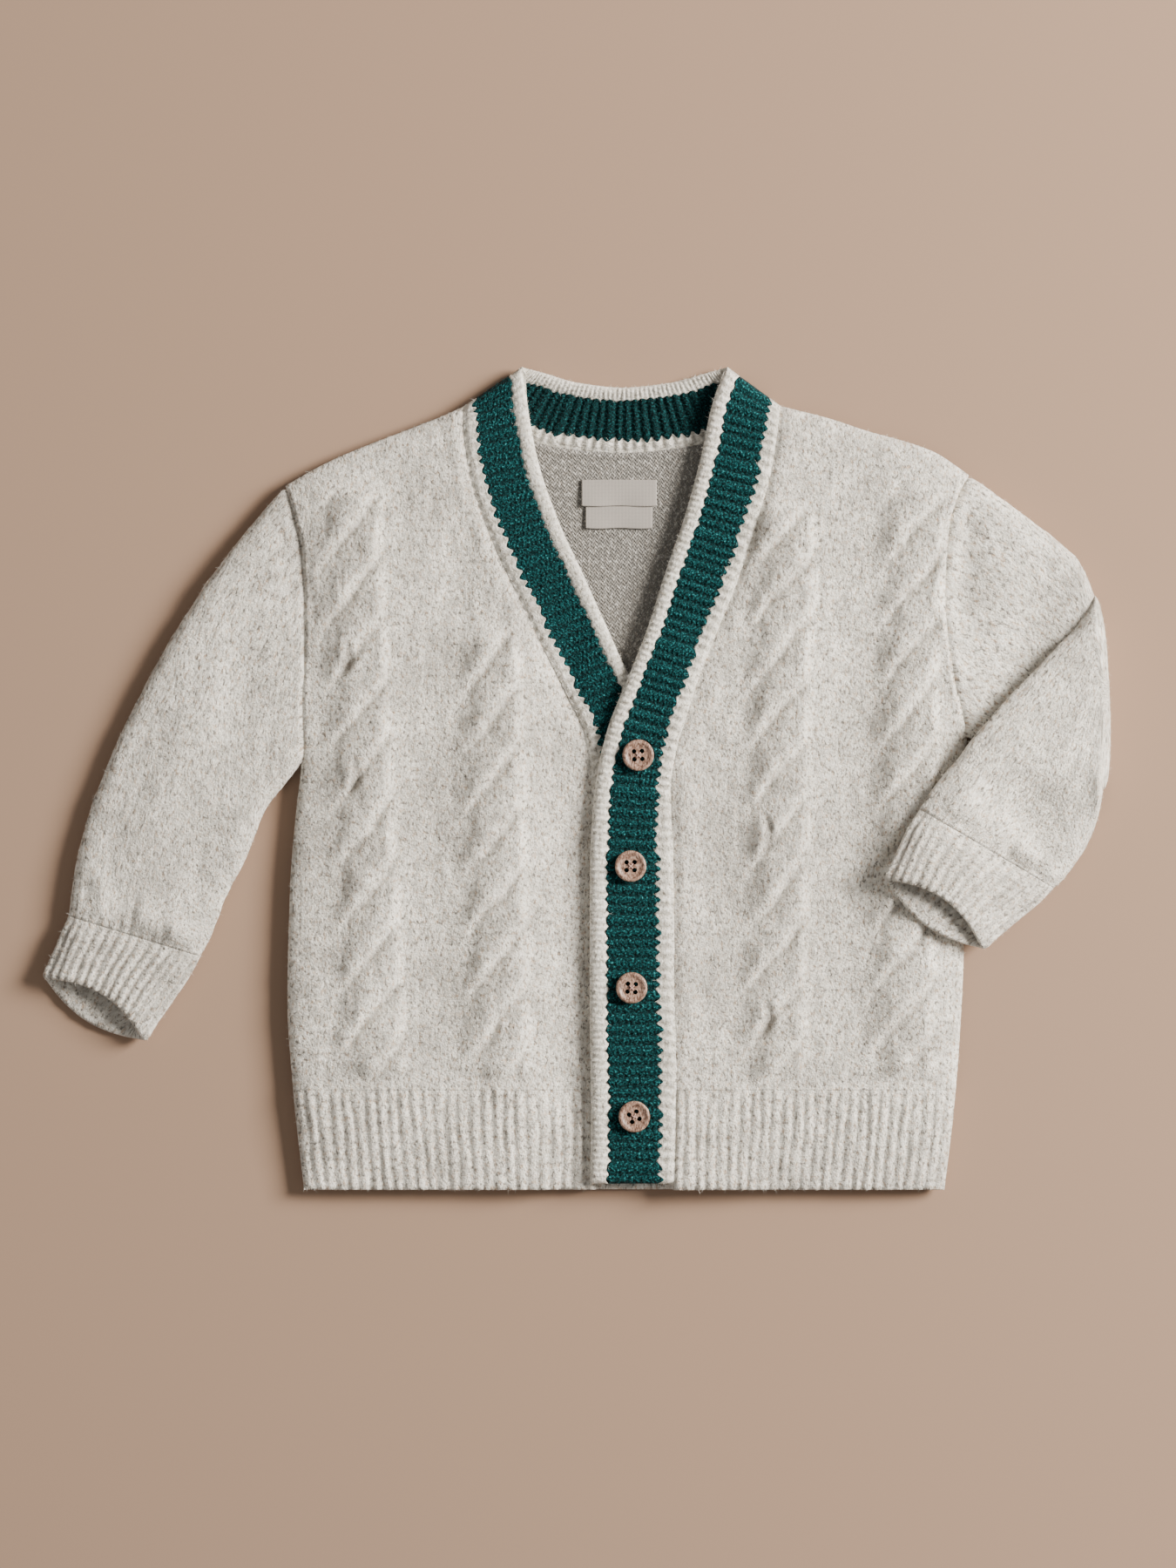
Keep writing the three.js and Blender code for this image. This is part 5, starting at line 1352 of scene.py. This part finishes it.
def button(number, x, y, turn):
    """A button turned from its outline and drilled, set on its solid's place, and its two stitches."""
    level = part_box("button_%d" % number)[0][2] / MM
    angles = turn + np.pi / 4 + np.arange(4) * np.pi / 2
    holes = HOLE_OUT * np.stack([np.cos(angles), np.sin(angles)], -1)
    piece = turned("button_shell_%d" % number, BUTTON_OUTLINE["r"], BUTTON_OUTLINE["z"], 64)
    drill(piece, holes, HOLE_RADIUS, 12)
    piece.data.transform(Matrix.Translation((x * MM, y * MM, level * MM)))
    dress(piece, shell, ["button_%d" % number])
    inner = STITCH_OUT * holes
    (first, quads), (second, _) = (thread_stitch(inner[i], inner[i + 2]) for i in (0, 1))
    points = np.vstack([first, second]) + (x, y, level + DISH_Z)
    both = np.vstack([quads, quads + len(first)])
    stitches = make_mesh("button_thread_%d" % number, points, both, np.zeros((0, 3), int))
    dress(stitches, sewing_thread, [])


for number, place in enumerate(zip(BUTTON_X, BUTTON_Y, BUTTON_TURN), 1):
    button(number, *place)

# Neck labels
# Two plain tapes of damask-woven polyester, one over the other, with their ends turned under and sewn to
# the inside of the back below the neck.

# An off-white tape, painted darker for the shade inside the neck
LABEL_TAPE_SHADED = "#99928a"
LABEL_THICK = 0.45
LABEL_STEPS = (60, 24)


def label_tape():
    """Woven polyester tape: threads that cross every 0.3 mm as two waves, and a faint sheen."""
    material, tree = empty_material("woven_label_tape")
    spot = add(tree, "ShaderNodeTexCoord").outputs["Object"]
    threads = {"Vector": spot, "Scale": 700.0, "Distortion": 1.0}
    warp = add(tree, "ShaderNodeTexWave", threads, bands_direction="X").outputs["Fac"]
    weft = add(tree, "ShaderNodeTexWave", threads, bands_direction="Y").outputs["Fac"]
    weave = add(tree, "ShaderNodeMath", {0: warp, 1: weft}, operation="ADD").outputs["Value"]
    bump = add(tree, "ShaderNodeBump", {"Height": weave, "Strength": 0.4, "Distance": 0.0001})
    return finish_surface(material, {
        "Base Color": linear(LABEL_TAPE_SHADED),
        "Normal": bump.outputs["Normal"],
        "Roughness": 0.6,
        "Sheen Weight": 0.1,
    })


tape = label_tape()


def label(node, bow):
    """A tape over its solid's place: its lower edge stands off a little, in a bow along its length, which
    is a sine and falls off up the tape."""
    low, high = np.array(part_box(node)) / MM
    columns, rows = LABEL_STEPS
    u, v = np.meshgrid(np.linspace(0, 1, columns), np.linspace(0, 1, rows))
    x, y = mix(low[0], high[0], u), mix(low[1], high[1], v)
    y = y + 0.25 * np.sin(np.pi * u) * (v - 0.5) - 0.15 * np.sin(3 * np.pi * u) * (1 - v)
    lift = bow * (1 - v) ** 1.5 * (0.6 + 0.4 * np.sin(2.6 * np.pi * u + 0.5))
    top = np.stack([x, y, high[2] + lift], -1)
    under = np.stack([x, y, high[2] - LABEL_THICK + lift], -1)
    uv = np.stack([x, y], -1)
    piece = make_wall("tape_" + node, top, under, kept(columns, 3), kept(rows, 3), uv)
    dress(piece, tape, [node])


label("label_main", 0.7)
label("label_size", 0.5)

# Nap
# Fibres that brushing has raised from the wool, 0.8 to 2.2 mm long. Most lean over the cloth, and those
# at its edges stand out as a soft halo. Each is drawn thicker than a real one, so that it shows.

NAP_SEED = 7
NAP_THICK = 0.05
NAP_LENGTH = (0.8, 2.2)
NAP_ROOT = 0.15  # depth of a fibre's root in the cloth
NAP_DENSITY = 0.56  # fibres to a square millimetre of half the wall, on cream wool,
EDGING_NAP_DENSITY = 1.6  # on edging and tipping,
TEAL_NAP_DENSITY = 0.8  # and on the green rib
NAP_COLOURS = dict(cream=("#f6f2e8", 0.76), grey=("#c0bab0", 0.12), beige=("#dcc8b0", 0.12))
TEAL_NAP = "#1a5a5a"
LEAN_SHAPE = (1.3, 3.2)  # of the beta distribution of how far fibres stand up,
LEAN_MOST = 1.35  # up to so many radians
SPIKE_TURNS = (0, 2.094, 4.189)  # thirds of a turn
CREAM_WALLS = ("panel_", "rib_r", "rib_l", "arm_", "cuff_")


def walls_named(starts):
    """The walls whose names start so, in the order they were made."""
    return [name for name in outer_grids if name.startswith(starts)]


def wall_samples(names, density, rng):
    """Random places on walls' outer faces, each in a cell picked by its area, with its outward direction;
    only what can be seen is sampled, so not a face that looks down."""
    places, normals = [], []
    for name in names:
        grid = outer_grids[name]
        tube = name.startswith(("arm_", "cuff_"))
        if tube:
            grid = np.hstack([grid, grid[:, :1]])
        a, b, d = grid[:-1, :-1], grid[:-1, 1:], grid[1:, :-1]
        cross = np.cross(b - a, d - a)
        if tube:
            cross = cross * np.sign(np.einsum("ijk,ijk->", cross, a - grid.mean((0, 1))))
        elif cross[..., 2].sum() < 0:
            cross = -cross
        area = np.linalg.norm(cross, axis=-1)
        seen = np.where((cross[..., 2] > -0.2 * area) & (a[..., 2] > 0.5), area, 0).ravel()
        count = int(seen.sum() * density)
        cell = rng.choice(len(seen), count, p=seen / seen.sum())
        s, t = rng.random((2, count, 1))
        corner, along, up, facing = (g.reshape(-1, 3)[cell] for g in (a, b - a, d - a, cross))
        places.append(corner + s * along + t * up)
        normals.append(facing / np.maximum(area.reshape(-1, 1)[cell], 1e-9))
    return np.vstack(places), np.vstack(normals)


def fibres(name, places, normals, rng, material):
    """Each fibre is a slim closed spike of four triangles. It leans over from its place by an angle from
    a beta distribution, in a random direction across the cloth."""
    count = len(places)
    aside = rng.normal(size=(count, 3))
    aside -= normals * np.einsum("ij,ij->i", aside, normals)[:, None]
    aside /= np.linalg.norm(aside, axis=1, keepdims=True)
    lean = rng.beta(*LEAN_SHAPE, (count, 1)) * LEAN_MOST
    way = aside * np.cos(lean) + normals * np.sin(lean)
    other = np.cross(way, normals)
    other /= np.maximum(np.linalg.norm(other, axis=1, keepdims=True), 1e-9)
    third = np.cross(way, other)
    long = rng.uniform(*NAP_LENGTH, (count, 1))
    root = places - NAP_ROOT * normals
    ring = [root + NAP_THICK * (np.cos(a) * other + np.sin(a) * third) for a in SPIKE_TURNS]
    points = np.stack(ring + [root + way * long], 1).reshape(-1, 3)
    points[:, 2] = np.maximum(points[:, 2], NAP_THICK)
    first = np.arange(count)[:, None] * 4
    triangles = np.vstack([first + f for f in ((0, 1, 3), (1, 2, 3), (2, 0, 3), (0, 2, 1))])
    piece = make_mesh(name, points, np.zeros((0, 4), int), triangles)
    return dress(piece, material, [])


def nap():
    """Fibres of each colour on the cream walls and the edging, in random shares, and teal ones on the
    green rib. The most frequent colour makes two pieces."""
    rng = np.random.default_rng(NAP_SEED)
    on_cream = wall_samples(walls_named(CREAM_WALLS), NAP_DENSITY, rng)
    on_edging = wall_samples(walls_named(("edging_", "tipping_")), EDGING_NAP_DENSITY, rng)
    places, normals = (np.vstack(both) for both in zip(on_cream, on_edging))
    pick = rng.random(len(places))
    start = 0
    for name, (colour, share) in NAP_COLOURS.items():
        mine = (pick >= start) & (pick < start + share)
        start += share
        material = plain("brushed_fibre_" + name, colour, 0.95)
        halves = np.array_split(np.flatnonzero(mine), 2 if share > 0.5 else 1)
        for number, rows in enumerate(halves, 1):
            fibres("nap_%s_%d" % (name, number), places[rows], normals[rows], rng, material)
    places, normals = wall_samples(walls_named("band_"), TEAL_NAP_DENSITY, rng)
    fibres("nap_teal", places, normals, rng, plain("brushed_fibre_teal", TEAL_NAP, 0.95))


nap()

# Floor, light and camera
# The garment lies on a plain pale floor. One large lamp at the upper right models the knit, a faint one
# and a pale sky fill its shadows, and it is seen from straight above.

VIEW_CENTRE = (-15.33, 0)
VIEW_HEIGHT = 600
CAMERA_HEIGHT = 3000
FLOOR_COLOUR = "#987d68"
FLOOR_Z = -0.0004

bpy.ops.mesh.primitive_plane_add(size=8, location=(0, 0, FLOOR_Z))
floor = bpy.context.object
floor.name = "floor"
floor.data.materials.append(plain("pale_floor", FLOOR_COLOUR, 0.9))


def area_light(name, place, size, power, colour):
    """A square lamp at a place in metres, facing the garment."""
    data = bpy.data.lights.new(name, "AREA")
    data.size, data.energy, data.color = size, power, linear(colour)[:3]
    lamp = bpy.data.objects.new(name, data)
    bpy.context.scene.collection.objects.link(lamp)
    lamp.location = place
    lamp.rotation_euler = (-lamp.location).to_track_quat("-Z", "Y").to_euler()


area_light("key_light", (1.75, 0.6, 1.1), 0.85, 170, "#fffaf3")
area_light("fill_light", (-1.2, -0.6, 2.4), 2.4, 12, "#fbf8f4")
world = bpy.data.worlds.new("studio")
world.use_nodes = True
world.node_tree.nodes["Background"].inputs["Color"].default_value = linear("#f4f1ee")
world.node_tree.nodes["Background"].inputs["Strength"].default_value = 0.28
bpy.context.scene.world = world

camera_data = bpy.data.cameras.new("camera")
camera_data.sensor_width = 36
camera_data.lens = camera_data.sensor_width * CAMERA_HEIGHT / VIEW_HEIGHT
camera_data.clip_end = 20
camera = bpy.data.objects.new("camera", camera_data)
bpy.context.scene.collection.objects.link(camera)
camera.location = (VIEW_CENTRE[0] * MM, VIEW_CENTRE[1] * MM, CAMERA_HEIGHT * MM)
bpy.context.scene.camera = camera
